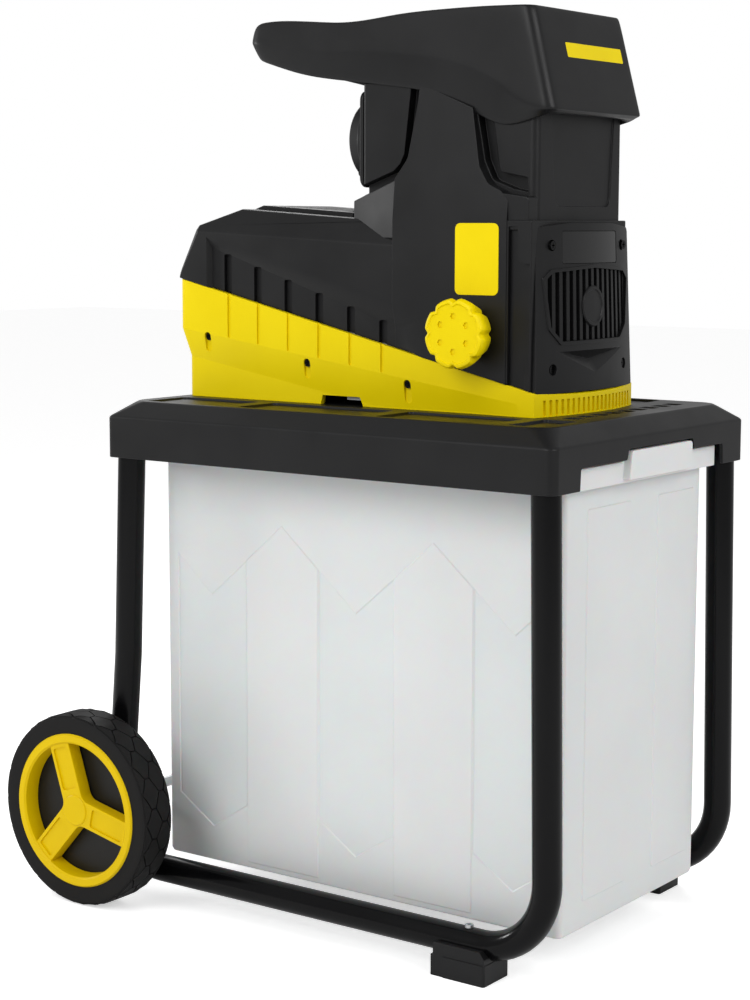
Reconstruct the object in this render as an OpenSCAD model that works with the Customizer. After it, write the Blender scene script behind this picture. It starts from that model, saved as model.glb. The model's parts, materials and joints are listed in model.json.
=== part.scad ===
// Garden shredder: a geared cutting drum under a feed hopper, on a wheeled tube stand with a
// pull-out bin. Lengths are in millimetres. +X is the front, where the bin pulls out, +Z is up.
// The origin is on the floor under the middle of the machine; pieces are drawn from the deck's middle.

/* [Deck] */
// Length of the deck, back to front
deck_l = 570; // [566:1:600]
// Width of the deck
deck_w = 400; // [400:1:430]
// Height of the deck's lower edge above the floor
deck_z = 494; // [480:1:520]
// Height of the deck's upright skirt
skirt_h = 45; // [44:1:56]
// Height of the sloping shoulder above the skirt
shoulder_h = 17; // [14:1:22]
// How far the shoulder leans in
shoulder_in = 18; // [12:1:20]
// Radius of the deck's upright corners
deck_corner_r = 10; // [8:1:24]
// Wall thickness of the moulded deck
deck_wall = 3.5; // [3:0.5:3.5]
// Height of the notch in the front skirt above its lower edge
notch_h = 18; // [18:0.5:21]
// Extra height of the notch over the bin's pull
notch_step = 8; // [7:0.5:12]
// Depth of the slots moulded into the deck's top
slot_d = 2; // [1:0.5:2.5]

/* [Stand] */
// Outer diameter of the frame tube
tube_d = 30; // [28:1:30]
// Wall thickness of the frame tube
tube_wall = 1.5; // [1.2:0.1:2.5]
// Distance of each tube loop from the middle
tube_y = 181; // [178:1:181]
// Height of the lower tube's axis above the floor
low_tube_z = 35; // [32:1:40]
// Front legs' distance in front of the deck's middle, at the deck's lower edge
front_leg_x = 266; // [262:1:266]
// How far the front legs spread forward on the way down
front_spread = 8; // [4:1:12]
// Back legs' distance behind the deck's middle, at the deck's lower edge
back_leg_x = 266; // [262:1:266]
// How far the back legs spread backward down to their kink
back_spread = 9; // [1:1:12]
// Height of the kink in the back legs
kink_z = 272; // [240:1:300]
// Bend radius at the front lower corners
front_bend_r = 75; // [60:1:85]
// Bend radius at the back lower corners
back_bend_r = 62; // [55:1:64]
// Bend radius of the kink
kink_bend_r = 120; // [80:1:200]
// Length of each foot
foot_l = 65; // [50:1:75]
// Width of each foot
foot_w = 46; // [42:1:52]
// Front end of the feet in front of the deck's middle
foot_front_x = 215; // [205:1:220]

/* [Wheels] */
// Outer diameter of the tyres
wheel_d = 214; // [200:1:220]
// Width of the tyres
wheel_w = 45; // [40:1:46]
// Distance of the wheels' outer faces from the middle
wheel_out_y = 258; // [256:1:265]
// Diameter of the rims that carry the tyres
rim_d = 172; // [160:1:176]
// Diameter of the axle
axle_d = 12; // [10:0.5:14]
// Distance of the axle behind the deck's middle
axle_back = 289; // [284:1:294]
// Number of spokes in the wheel covers
spokes = 3; // [3:1:6]
// Turn of the wheel covers' spokes from upright
spoke_turn = 18; // [0:1:60]

/* [Bin] */
// Length of the bin's body
bin_l = 511; // [480:1:514]
// Width of the bin's body
bin_w = 278; // [260:1:279]
// Front face of the bin in front of the deck's middle
bin_front_x = 262; // [256:1:264]
// Height of the bin's underside above the floor
bin_z = 40; // [30:1:60]
// Wall thickness of the bin
bin_wall = 2.5; // [2:0.5:4]
// Radius of the bin's upright corners
bin_corner_r = 12; // [10:1:35]
// How far the bin's rim stands out at each side
rim_out = 7; // [6:0.5:7]
// How far the pull stands in front of the bin
pull_out = 24; // [22:1:30]
// Height of the pull
pull_h = 28; // [22:1:32]

/* [Housing] */
// Width of the housing
house_w = 198; // [196:1:206]
// Distance of the housing's back behind the deck's middle, at the seam
house_back = 260; // [256:1:268]
// How much further forward the housing's back is at the deck
back_draft = 15; // [5:1:25]
// Front of the housing at its middle, in front of the deck's middle
house_front = 214; // [213:1:220]
// Height of the seam between lower and upper housing above the deck, at the back
seam_back_h = 130; // [120:1:140]
// Height of the seam above the deck, at the front
seam_front_h = 21; // [18:1:24]
// Height of the motor housing's top above the deck
nose_h = 202; // [202:1:215]
// Wall thickness of the housing shells
house_wall = 3; // [2.5:0.5:4]
// Radius of the bow of the housing's front
bow_r = 375; // [340:1:500]
// Width of the tower
tower_w = 166; // [160:1:170]
// Back of the tower behind the deck's middle
tower_back = 23; // [15:1:25]
// Front of the tower in front of the deck's middle
tower_front = 191; // [188:1:196]
// Number of ventilation bars in the front grille
grille_bars = 13; // [9:2:15]
// Number of ventilation slots in the lower housing's front
vent_slots = 19; // [13:2:21]

/* [Hopper] */
// Height of the hopper's top above the floor
hopper_top_z = 960; // [950:1:980]
// Width of the hopper
hopper_w = 186; // [180:1:200]
// Wall thickness of the hopper
hopper_wall = 4; // [3:0.5:5]
// How far the loading lip reaches behind the deck's middle
lip_back = 172; // [150:1:178]
// Height of the seat that carries the hopper's neck, above the floor
neck_z = 866; // [860:1:872]

/* [Cutter] */
// Tip diameter of the cutting drum
drum_d = 94; // [88:1:95]
// Length of the cutting drum
drum_l = 128; // [110:1:130]
// Number of teeth on the cutting drum
drum_teeth = 8; // [6:1:10]
// Distance of the drum's axis to the far side
drum_y = 22; // [21:0.5:23]
// Height of the drum's axis above the deck
drum_h = 83; // [82:0.5:84]
// Gap between the drum and the pressure plate at rest
plate_gap = 3; // [2.8:0.1:5]
// Diameter of the adjusting screw
screw_d = 12; // [10:1:14]
// Adjusting screw's distance in front of the deck's middle
knob_x = 126; // [115:1:130]
// Diameter of the adjusting knob
knob_d = 76; // [60:1:80]
// Length of the adjusting knob
knob_l = 32; // [26:1:36]

/* [Drive] */
// Tooth size of the first gear pair
module_1 = 1.25; // [1.25:0.05:1.3]
// Tooth size of the second gear pair
module_2 = 1.75; // [1.7:0.05:1.75]
// Tooth size of the third gear pair
module_3 = 2.25; // [2.2:0.05:2.25]
// Teeth on each pinion
pinion_teeth = 12; // [11:1:13]
// Teeth on the first and second gears
gear_teeth = 48; // [46:1:48]
// Teeth on the drum's gear
drum_gear_teeth = 44; // [42:1:44]
// Play between meshing teeth
backlash = 0.4; // [0.35:0.05:0.5]
// Outer diameter of the motor's stator
stator_d = 124; // [110:1:128]
// Length of the motor's stator
stator_l = 110; // [90:1:112]
// Height of the motor's axis above the deck
motor_h = 99; // [98:0.5:100]

/* [Switch] */
// Diameter of the turning switch
switch_d = 96; // [86:1:98]
// How far the turning switch stands out
switch_out = 30; // [20:1:32]
// Height of the turning switch's axis above the floor
switch_z = 836; // [834:1:837]

/* [Fits] */
// Gap between pieces that rest on or pass by each other
gap = 0.3; // [0.2:0.05:0.5]
// Radial play of a shaft in its bearing
play = 0.08; // [0.05:0.01:0.1]
// Shank diameter of the housing screws
bolt_d = 4; // [3:0.5:5]
// Head diameter of the housing screws
bolt_head_d = 9; // [8:0.5:10]

/* [Hidden] */
$fn = 64;

over = 1;
black = "#2c2c2e";
dark = "#1c1c1e";
yellow = "#ffdf00";
steel = "#b4b6b8";

// Stand
tube_r = tube_d / 2;
wheel_r = wheel_d / 2;
axle_r = axle_d / 2;
axle_z = wheel_r;
deck_top = deck_z + skirt_h + shoulder_h;
deck_under = deck_top - deck_wall;
leg_top = deck_z + skirt_h - 3;
socket_up = 4;
front_foot_x = front_leg_x + front_spread;
deck_cx = (axle_back + wheel_r - front_foot_x - tube_r) / 2;
kink_x = -back_leg_x - back_spread;
kick = (axle_back + kink_x) / (kink_z - axle_z);
foot_mid_x = foot_front_x - foot_l / 2;
wheel_in_y = wheel_out_y - wheel_w;
wheel_cover_t = 4;
disc_in = 28;
disc_t = 6;

function front_leg(z) = front_leg_x + front_spread * (deck_z - z) / (deck_z - low_tube_z);
function back_leg(z) = -back_leg_x - back_spread * (deck_z - z) / (deck_z - kink_z);
function loop_path(up) = [
  [front_leg(leg_top + up), leg_top + up],
  [front_foot_x, low_tube_z],
  [-axle_back - kick * (axle_z - low_tube_z), low_tube_z],
  [kink_x, kink_z],
  [back_leg(leg_top + up), leg_top + up]
];
loop_bends = [0, front_bend_r, back_bend_r, kink_bend_r, 0];

// Bin and its rails
bin_back_x = bin_front_x - bin_l;
bin_half = bin_w / 2;
rim_half = bin_half + rim_out;
rim_t = 3;
rail_t = 3;
rail_z = deck_z + 3;
rim_z = rail_z + rail_t + gap;
rail_in = bin_half + 2.5;
rail_out = rim_half + 6;
notch_half = rim_half + 4;
pull_top = deck_z + notch_h - 1;
flap_half = 66;
flap_y = 12;
flap_t = 3;
plunger_r = 4;
plunger_l = 10;
interlock_z = [deck_z + 2, deck_z + skirt_h - 4];
interlock_half = 15;
interlock_x = bin_back_x - rim_t - gap - plunger_l;

// Housing
house_half = house_w / 2;
seam_back_z = deck_top + seam_back_h;
seam_front_z = deck_top + seam_front_h;
seam_slope = (seam_back_z - seam_front_z) / (house_back + house_front);
nose_top = deck_top + nose_h;
core_front = tower_front + 5;
nose_bevel = 16;
nose_bevel_h = 23;
nose_slope_x = 72;
nose_kink = 28;
cover_half = 86;
cover_top = nose_top - 10;
cover_low = seam_front_z + 8;
cover_front = house_front - 4;
side_t = 6;
side_proud = 2;
side_in = house_half - side_t;
tower_half = tower_w / 2;
window_half = 55;
window_h = 32;
window_z = cover_top - 23;
window_t = 2;
grille_z = 665;
grille_h = 66;
grille_half = 78;
boss_r = 21;
cover_bolts = [[71, cover_top - 21], [70, cover_low + 18]];
cover_rim = 4;
cover_bolt_sink = 3;
cover_boss_l = 4;
lid_size = [138, 124, 11];
lid_front_x = -50;
side_bolts = [[-226, deck_top + 68], [-87, deck_top + 44], [45, deck_top + 27]];
bolt_seat = 6;
bolt_boss_l = 4;
label_t = 0.6;
label_half = [26, 36];
label_x = 132;
label_up = 74;
seam_gap = 0.1;

function seam_z(x) = seam_back_z - seam_slope * (x + house_back);

// Hopper
hopper_half = hopper_w / 2;
throat = [[62, -45], [183, 70]];
mouth = [[-lip_back + 28, -hopper_half + 12], [tower_front - 14, hopper_half - 12]];
throat_r = 8;
mouth_r = 14;
funnel_z = neck_z + 24;
neck_wall = 3.5;
hopper_corner_r = 22;
hopper_end_top = tower_front - 5;
hopper_end_low = tower_front + 23;
hopper_end_z = neck_z - 8;
lip_in = 24;
lip_drop = 20;
lip_low_x = 6;
lip_low_z = neck_z + 59;
edge_back = [60 - lip_back, neck_z + 42];
edge_mid = [60, neck_z + 18];
edge_front = [150, neck_z - 18];
edge_back_pull = [-10, neck_z + 28];
edge_front_pull = [122, neck_z + 2];
hopper_low_z = neck_z - 36;
neck_up = 30;
strip_y = [-41, 76];
strip_z = [-48, -33];
strip_t = 1.5;

// Cutter
drum_z = deck_top + drum_h;
drum_r = drum_d / 2;
cut_wall = 4;
cut_y0 = drum_y - drum_r - 41;
cut_y1 = drum_y + drum_r + 3;
cut_low = deck_top + 16;
cut_top = deck_top + 144;
cut_front = tower_front - 4;
chute = [[66, drum_y - drum_r - 15], [176, cut_y1]];
chute_wall = 2.5;
plate_t = 22;
plate_y1 = drum_y - drum_r - plate_gap;
plate_y0 = plate_y1 - plate_t;
plate_z = [drum_z - 40, drum_z + 48];
screw_r = screw_d / 2;
shaft_r = 10;
knob_y = house_half + 4;

// Drive, along X
motor_z = deck_top + motor_h;
case_back = -34;
case_front = 46;
case_wall = 4;
end_wall = 8;
case_y = [-88, 84];
case_z = [deck_top + 6, deck_top + 146];
cover_t = 6;
plane_1 = [-30, -20];
plane_2 = [-16, -2];
plate_x = [2, 8];
plane_3 = [12, 34];
journal_r = 5;
hex_r = 6.5;
pinion_hex_r = 4;
drum_hex_r = 11;
motor_front_x = case_back - cover_t;
shield_t = 20;
stator_x = motor_front_x - shield_t - stator_l;
rear_shield_t = 16;
fan_x = stator_x - rear_shield_t - 24;
fan_t = 18;
motor_shaft_r = 8;
bearing_r = 17;
bearing_t = 10;
shield_r = stator_d / 2 + 4;
rotor_r = stator_d * 0.28;
air_gap = 0.5;

function pitch_r(m, n) = m * n / 2;
motor_at = [0, motor_z];
drum_at = [drum_y, drum_z];
reach_1 = pitch_r(module_1, pinion_teeth + gear_teeth);
reach_2 = pitch_r(module_2, pinion_teeth + gear_teeth);
reach_3 = pitch_r(module_3, pinion_teeth + drum_gear_teeth);
second_drop = 22;
second_at = drum_at - [sqrt(reach_3 * reach_3 - second_drop * second_drop), second_drop];
first_at = meet(motor_at, reach_1, second_at, reach_2);
// The point at given distances from two others, on the right of the line between them
function meet(a, ra, b, rb) =
  let (d = norm(b - a), u = (b - a) / d, along = (ra * ra - rb * rb + d * d) / (2 * d))
  a + u * along + [-u[1], u[0]] * sqrt(ra * ra - along * along);
function aim(a, b) = atan2(b[1] - a[1], b[0] - a[0]);

// Controls on the tower's back
switch_y = -30;
switch_plate = [5, 158, 100];
switch_x = -tower_back - switch_plate[0];
switch_rim = 5;
switch_knob_r = switch_d / 2 - switch_rim;
switch_sink = 8;
switch_floor = 3;
spindle_r = 4;
reset_at = [switch_x, 46, 866];
reset_r = 6;
inlet_at = [0, 46, 815];
inlet_size = [16, 44, 40];

// Shared shapes

module box(a, b) {
  translate(a)
    cube(b - a);
}

// A rounded rectangle from corner to corner
module plate_2d(a, b, r) {
  translate(a + [r, 0])
    square(b - a - [2 * r, 0]);
  translate(a + [0, r])
    square(b - a - [0, 2 * r]);
  for (x = [a[0] + r, b[0] - r], y = [a[1] + r, b[1] - r])
    translate([x, y])
      circle(r);
}

module slab(a, b, r, z0, z1) {
  translate([0, 0, z0])
    linear_extrude(z1 - z0)
      plate_2d(a, b, r);
}

// Extrudes an outline drawn in X and Z from one Y to another
module side_prism(y0, y1) {
  translate([0, y1, 0])
    rotate([90, 0, 0])
      linear_extrude(y1 - y0)
        children();
}

// Extrudes an outline drawn in Y and Z from one X to another
module end_prism(x0, x1) {
  translate([x0, 0, 0])
    rotate([90, 0, 90])
      linear_extrude(x1 - x0)
        children();
}

module rod_x(x0, x1, at, r) {
  translate([x0, at[0], at[1]])
    rotate([0, 90, 0])
      cylinder(h = x1 - x0, r = r);
}

module hex_x(x0, x1, at, r) {
  translate([x0, at[0], at[1]])
    rotate([90, 0, 90])
      cylinder(h = x1 - x0, r = r, $fn = 6);
}

module rod_y(y0, y1, x, z, r) {
  translate([x, y1, z])
    rotate([90, 0, 0])
      cylinder(h = y1 - y0, r = r);
}

module both_sides() {
  children();
  mirror([0, 1, 0])
    children();
}

// A flat-ground funnel between a mouth at the top and a throat at the bottom, grown by some wall
module funnel(grow) {
  wall = [grow, grow];
  hull() {
    translate([0, 0, hopper_top_z + over])
      linear_extrude(0.01)
        plate_2d(mouth[0] - wall, mouth[1] + wall, mouth_r + grow, $fn = 32);
    translate([0, 0, funnel_z])
      linear_extrude(0.01)
        plate_2d(throat[0] - wall, throat[1] + wall, throat_r + grow, $fn = 32);
  }
  low = neck_z - (grow > 0 ? 0 : over);
  slab(throat[0] - wall, throat[1] + wall, throat_r + grow, low, funnel_z);
}

// Tube bent along a path: straights run a little into the bends and are a hair thinner

joint_l = 1;
joint_step = 0.1;
function unit2(v) = v / norm(v);
function half_corner(a, b, c) = acos(unit2(a - b) * unit2(c - b)) / 2;
function corner_cut(a, b, c, r) = r / tan(half_corner(a, b, c));
function toward(p, q, d) = p + unit2(q - p) * d;
function corner_mid(a, b, c, r) = b + unit2(unit2(a - b) + unit2(c - b)) * r / sin(half_corner(a, b, c));
function heading(v) = atan2(v[1], v[0]);
function short_turn(a) = (a + 540) % 360 - 180;

module straight(p, q, r) {
  translate([p[0], 0, p[1]])
    rotate([0, atan2(q[0] - p[0], q[1] - p[1]), 0])
      cylinder(h = norm(q - p), r = r);
}

module bend(a, b, c, bend_r, r) {
  mid = corner_mid(a, b, c, bend_r);
  cut = corner_cut(a, b, c, bend_r);
  first = heading(toward(b, a, cut) - mid);
  sweep = short_turn(heading(toward(b, c, cut) - mid) - first);
  translate([mid[0], 0, mid[1]])
    rotate([90, 0, 0])
      rotate([0, 0, sweep < 0 ? first + sweep : first])
        rotate_extrude(angle = abs(sweep))
          translate([bend_r, 0])
            circle(r);
}

module bent_tube(p, bends, r) {
  n = len(p);
  for (i = [0 : n - 2]) {
    from = i == 0 ? p[0] : toward(p[i], p[i + 1], corner_cut(p[i - 1], p[i], p[i + 1], bends[i]));
    to = i == n - 2 ? p[n - 1]
      : toward(p[i + 1], p[i], corner_cut(p[i], p[i + 1], p[i + 2], bends[i + 1]));
    start = toward(from, to, i == 0 ? 0 : -joint_l);
    stop = toward(to, from, i == n - 2 ? 0 : -joint_l);
    straight(start, stop, r - joint_step);
  }
  for (i = [1 : n - 2])
    bend(p[i - 1], p[i], p[i + 1], bends[i], r);
}

// Gear teeth: flat-sided involutes with a few points on each flank

press_angle = 25;
function inv(rb, r) = sqrt(pow(max(r / rb, 1), 2) - 1) * 180 / PI - acos(min(rb / r, 1));
function tooth_half(m, n, r) =
  let (rp = pitch_r(m, n), rb = rp * cos(press_angle))
  90 / n - backlash / 4 / rp * 180 / PI + inv(rb, rp) - inv(rb, max(r, rb));
function polar(r, a) = [r * cos(a), r * sin(a)];
function gear_points(m, n) =
  let (rp = pitch_r(m, n), root = rp - 1.25 * m, tip = rp + 0.95 * m, steps = 4,
       base = max(root, rp * cos(press_angle)),
       radii = [root, for (i = [0 : steps]) base * (1 - i / steps) + tip * i / steps])
  [for (t = [0 : n - 1]) let (a = t * 360 / n) each concat(
    [for (i = [0 : steps + 1]) polar(radii[i], a - tooth_half(m, n, radii[i]))],
    [for (i = [steps + 1 : -1 : 0]) polar(radii[i], a + tooth_half(m, n, radii[i]))])];

module gear(m, n, planes, at, turn, bore_r) {
  translate([planes[0], at[0], at[1]])
    rotate([90, 0, 90])
      linear_extrude(planes[1] - planes[0])
        difference() {
          rotate(turn)
            polygon(gear_points(m, n));
          circle(bore_r, $fn = 6);
        }
}

// Fasteners: a flanged head on a plain shank, pointing down

module bolt(shank) {
  translate([0, 0, -shank])
    cylinder(h = shank + over, d = bolt_d);
  difference() {
    cylinder(h = 3, d = bolt_head_d);
    for (a = [0, 90])
      rotate(a)
        translate([-bolt_head_d * 0.3, -0.6, 1.4])
          cube([bolt_head_d * 0.6, 1.2, 3]);
  }
}

module at_foot_screw(side) {
  translate([foot_mid_x, side * tube_y, low_tube_z + tube_r])
    children();
}

module at_cover_bolts() {
  for (b = cover_bolts, s = [-1, 1])
    translate([bow_x(cover_front, b[0]) - cover_bolt_sink, s * b[0], b[1]])
      rotate([0, 90, 0])
        children();
}

module at_housing_bolts() {
  for (b = side_bolts)
    both_sides()
      translate([b[0], -house_half + bolt_seat, b[1]])
        rotate([90, 0, 0])
          children();
}

// Place of a bowed front at a distance from the middle
function bow_x(front, y) = front - bow_r + sqrt(bow_r * bow_r - y * y);

module bow(front, z0, z1) {
  translate([front - bow_r, 0, z0])
    cylinder(h = z1 - z0, r = bow_r, $fn = 720);
}

// Stand

module frame_tube(side) {
  color(dark)
    translate([0, side * tube_y, 0])
      difference() {
        bent_tube(loop_path(0), loop_bends, tube_r);
        bent_tube(loop_path(over), loop_bends, tube_r - tube_wall);
        rod_y(-tube_d, tube_d, -axle_back, axle_z, axle_r + play);
        translate([foot_mid_x, 0, low_tube_z - tube_d])
          cylinder(h = 2 * tube_d, d = bolt_d + 2 * gap);
      }
}

module frame_tube_near() {
  frame_tube(-1);
}

module frame_tube_far() {
  frame_tube(1);
}

module foot(side) {
  color(black)
    translate([0, side * tube_y, 0])
      difference() {
        side_prism(-foot_w / 2, foot_w / 2)
          polygon([
            [foot_front_x - foot_l + 4, 0], [foot_front_x - 3, 0], [foot_front_x, low_tube_z - 8],
            [foot_front_x - 8, low_tube_z], [foot_front_x - foot_l, low_tube_z]
          ]);
        rod_x(0, deck_l, [0, low_tube_z], tube_r + gap);
        translate([foot_mid_x, 0, 8])
          cylinder(h = low_tube_z, d = bolt_d + 2 * gap);
      }
}

module foot_near() {
  foot(-1);
}

module foot_far() {
  foot(1);
}

module foot_screws() {
  color(steel)
    for (side = [-1, 1])
      at_foot_screw(side)
        bolt(tube_d + 8);
}

module axle() {
  color(steel)
    rod_y(-wheel_out_y + 7, wheel_out_y - 7, -axle_back, axle_z, axle_r);
}

module axle_nuts() {
  color(steel)
    both_sides()
      difference() {
        rod_y(-wheel_out_y + 8, -wheel_out_y + 11, -axle_back, axle_z, axle_r + 5);
        rod_y(-wheel_out_y, 0, -axle_back, axle_z, axle_r);
      }
}

// Wheels: near side drawn, the far one is its mirror image

module at_axle() {
  translate([-axle_back, 0, axle_z])
    rotate([90, 0, 0])
      children();
}

module tyre() {
  color(dark)
    at_axle()
      rotate_extrude()
        difference() {
          plate_2d([rim_d / 2 - 20, wheel_in_y], [wheel_r, wheel_out_y - 1], 7);
          translate([0, wheel_in_y - over])
            square([rim_d / 2 + gap / 3, wheel_w + 2 * over]);
        }
}

module rim() {
  rim_r = rim_d / 2;
  hub_r = axle_r + 8;
  hub_y = tube_y + tube_r + 1.5;
  color(black)
    at_axle()
      rotate_extrude() {
        translate([axle_r + play, hub_y])
          square([hub_r - axle_r - play, wheel_out_y - 12 - hub_y]);
        translate([hub_r - over, wheel_out_y - disc_in])
          square([rim_r - hub_r, disc_t]);
        translate([rim_r - 6, wheel_in_y + 1])
          square([6, wheel_w - 5]);
      }
}

module wheel_cover() {
  rim_r = rim_d / 2;
  peg_l = disc_in - disc_t - wheel_cover_t;
  color(yellow)
    at_axle()
      translate([0, 0, wheel_out_y - wheel_cover_t]) {
        linear_extrude(wheel_cover_t) {
          difference() {
            circle(rim_r);
            circle(rim_r - 12);
          }
          circle(19);
          for (i = [0 : spokes - 1])
            rotate(90 + spoke_turn + i * 360 / spokes)
              polygon([[0, -11], [rim_r - 6, -17], [rim_r - 6, 17], [0, 11]]);
        }
        for (i = [0 : spokes - 1])
          rotate(90 + spoke_turn + i * 360 / spokes)
            translate([rim_r * 0.55, 0, -peg_l])
              cylinder(h = peg_l + gap, r = 5);
      }
}

module tyre_near() {
  tyre();
}

module rim_near() {
  rim();
}

module wheel_cover_near() {
  wheel_cover();
}

module tyre_far() {
  mirror([0, 1, 0])
    tyre();
}

module rim_far() {
  mirror([0, 1, 0])
    rim();
}

module wheel_cover_far() {
  mirror([0, 1, 0])
    wheel_cover();
}

// Deck

module deck_form(inset, z0, top) {
  half = [deck_l / 2 - inset, deck_w / 2 - inset];
  r = deck_corner_r - inset;
  slab(-half, half, r, z0, deck_z + skirt_h);
  lean = [shoulder_in, shoulder_in];
  hull() {
    slab(-half, half, r, deck_z + skirt_h - 0.01, deck_z + skirt_h, $fn = 32);
    slab(lean - half, half - lean, max(r - shoulder_in, 4), top - 0.01, top, $fn = 32);
  }
}

module leg_bores(r, z0) {
  for (side = [-1, 1])
    translate([0, side * tube_y, 0]) {
      straight([front_leg(z0), z0], [front_leg(leg_top), leg_top], r);
      straight([back_leg(z0), z0], [back_leg(leg_top), leg_top], r);
    }
}

// Webs that tie the leg sockets to the ends of the skirt
module socket_webs() {
  for (side = [-1, 1])
    translate([0, side * tube_y, 0]) {
      box([front_leg(leg_top), -deck_wall, deck_z + socket_up], [deck_l / 2, deck_wall, leg_top]);
      box([-deck_l / 2, -deck_wall, deck_z + socket_up], [back_leg(leg_top), deck_wall, leg_top]);
    }
}

module deck_slot(at, half) {
  translate([at[0], at[1], deck_top - slot_d])
    linear_extrude(slot_d + over)
      square(2 * half, center = true);
}

module deck_slots() {
  side_step = 46;
  front_step = 44;
  for (i = [-5 : 5], side = [-1, 1])
    deck_slot([i * side_step, side * (deck_w / 2 - 52)], [16, 9]);
  for (i = [-3 : 3])
    deck_slot([deck_l / 2 - 37, i * front_step], [9, 15]);
}

module deck() {
  half = [deck_l / 2 - 1, deck_w / 2 - 1];
  rail_end = deck_l / 2 - 30;
  flap_side = flap_half + 2;
  color(black)
    difference() {
      union() {
        difference() {
          deck_form(0, deck_z, deck_top);
          deck_form(deck_wall, deck_z - over, deck_under);
        }
        intersection() {
          union() {
            leg_bores(tube_r + gap + deck_wall, deck_z + socket_up);
            socket_webs();
          }
          slab(-half, half, deck_corner_r - 1, deck_z, deck_top);
        }
        both_sides() {
          box([-rail_end, rail_out - 4, rail_z], [rail_end, rail_out, deck_under + 1]);
          box([-rail_end, rail_in, rail_z], [rail_end, rail_out, rail_z + rail_t]);
        }
      }
      leg_bores(tube_r + gap, deck_z - 2);
      box([0, -notch_half, deck_z - over], [deck_l, notch_half, deck_z + notch_h]);
      box([0, flap_y - flap_side, deck_z], [deck_l, flap_y + flap_side, deck_z + notch_h + notch_step]);
      box([chute[0][0], chute[0][1], deck_z], [chute[1][0], chute[1][1], deck_top + over]);
      deck_slots();
    }
}

module interlock_switch() {
  back = deck_wall - deck_l / 2;
  color(dark)
    difference() {
      box([back, -interlock_half, interlock_z[0]], [interlock_x, interlock_half, interlock_z[1]]);
      rod_x(interlock_x - 12, interlock_x + over, [0, rim_z + rim_t / 2], plunger_r + gap);
    }
}

module interlock_plunger() {
  color(yellow)
    rod_x(interlock_x - 6, interlock_x + plunger_l, [0, rim_z + rim_t / 2], plunger_r);
}

// Bin

module bin() {
  a = [bin_back_x, -bin_half];
  b = [bin_front_x, bin_half];
  wall = [bin_wall, bin_wall];
  pull_x = bin_front_x + pull_out;
  pull_low = pull_top - pull_h;
  flap_end = pull_x + flap_t;
  rim_x = bin_front_x - bin_corner_r - rim_t;
  top = rim_z + rim_t;
  color("#d9dcdc")
    difference() {
      union() {
        slab(a, b, bin_corner_r, bin_z, top);
        slab(a - [rim_t, rim_out], [bin_front_x, rim_half], bin_corner_r + rim_t, rim_z, top);
        box([rim_x, -rim_half, rim_z], [bin_front_x, rim_half, top]);
        box([bin_front_x - bin_wall, -rim_half, pull_low], [pull_x, rim_half, pull_top]);
        translate([0, flap_y, 0])
          box([pull_x - over, -flap_half, pull_low], [flap_end, flap_half, pull_top + notch_step]);
      }
      slab(a + wall, b - wall, bin_corner_r - bin_wall, bin_z + bin_wall, deck_top);
      translate([0, 0, -bin_wall])
        box([bin_front_x, bin_wall - rim_half, bin_z], [pull_x - bin_wall, rim_half - bin_wall, pull_top]);
      both_sides()
        box([rim_x, bin_half + gap, bin_z], [bin_front_x, rim_half + over, rim_z]);
    }
}

// Housing

// The lower housing's outline: a wedge under the sloping seam
module lower_outline(inset) {
  front = house_front + over;
  up = inset > 0 ? 40 : 0;
  polygon([
    [-house_back + back_draft + inset, deck_top + inset], [front - inset, deck_top + inset],
    [front - inset, seam_z(front) + up], [-house_back + inset, seam_z(-house_back) + up]
  ]);
}

module lower_housing() {
  vent_w = 5;
  vent_pitch = 2 * house_half * 0.9 / vent_slots;
  vent_z = [deck_top + 6, seam_front_z - 5];
  color(yellow)
    difference() {
      union() {
        intersection() {
          difference() {
            side_prism(-house_half, house_half)
              lower_outline(0);
            intersection() {
              side_prism(-house_half + house_wall, house_half - house_wall)
                lower_outline(house_wall);
              bow(house_front - house_wall, deck_z, nose_top);
            }
          }
          bow(house_front, deck_z, nose_top);
        }
        at_housing_bolts()
          translate([0, 0, -bolt_boss_l])
            cylinder(h = bolt_boss_l + bolt_seat - house_wall + over, d = bolt_head_d + 8);
      }
      box([chute[0][0], chute[0][1], deck_z], [chute[1][0], chute[1][1], deck_top + 2 * house_wall]);
      for (i = [-(vent_slots - 1) / 2 : (vent_slots - 1) / 2])
        translate([0, i * vent_pitch, 0])
          box([house_front - 40, -vent_w / 2, vent_z[0]], [house_front + over, vent_w / 2, vent_z[1]]);
      at_housing_bolts() {
        cylinder(h = bolt_seat + over, d = bolt_head_d + 3);
        translate([0, 0, -bolt_boss_l - over])
          cylinder(h = bolt_boss_l + 2 * over, d = bolt_d + 2 * gap);
      }
      for (side = [-1, 1])
        translate([-65, side * house_half - 4, deck_top - over])
          cube([54, 8, 9]);
    }
}

// The upper housing's outline above the seam, with its raked back
module upper_outline(inset) {
  low = inset > 0 ? 40 : 0;
  polygon([
    [-house_back + inset, seam_z(-house_back) + seam_gap - low],
    [core_front - inset, seam_z(core_front) + seam_gap - low],
    [core_front - inset, nose_top - inset],
    [-house_back + nose_slope_x + inset / 2, nose_top - inset],
    [-house_back + nose_kink + inset, nose_top - nose_bevel + inset / 2 - inset]
  ]);
}

module upper_section(inset) {
  half = house_half - 2 - inset;
  top = nose_top - inset;
  kink = nose_top - nose_bevel_h;
  polygon([
    [-half, deck_z], [half, deck_z], [half, kink],
    [half - nose_bevel, top], [-half + nose_bevel, top], [-half, kink]
  ]);
}

module upper_form(inset) {
  intersection() {
    side_prism(-house_half, house_half)
      upper_outline(inset);
    end_prism(-house_back - over, core_front + over)
      upper_section(inset);
  }
}

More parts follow.
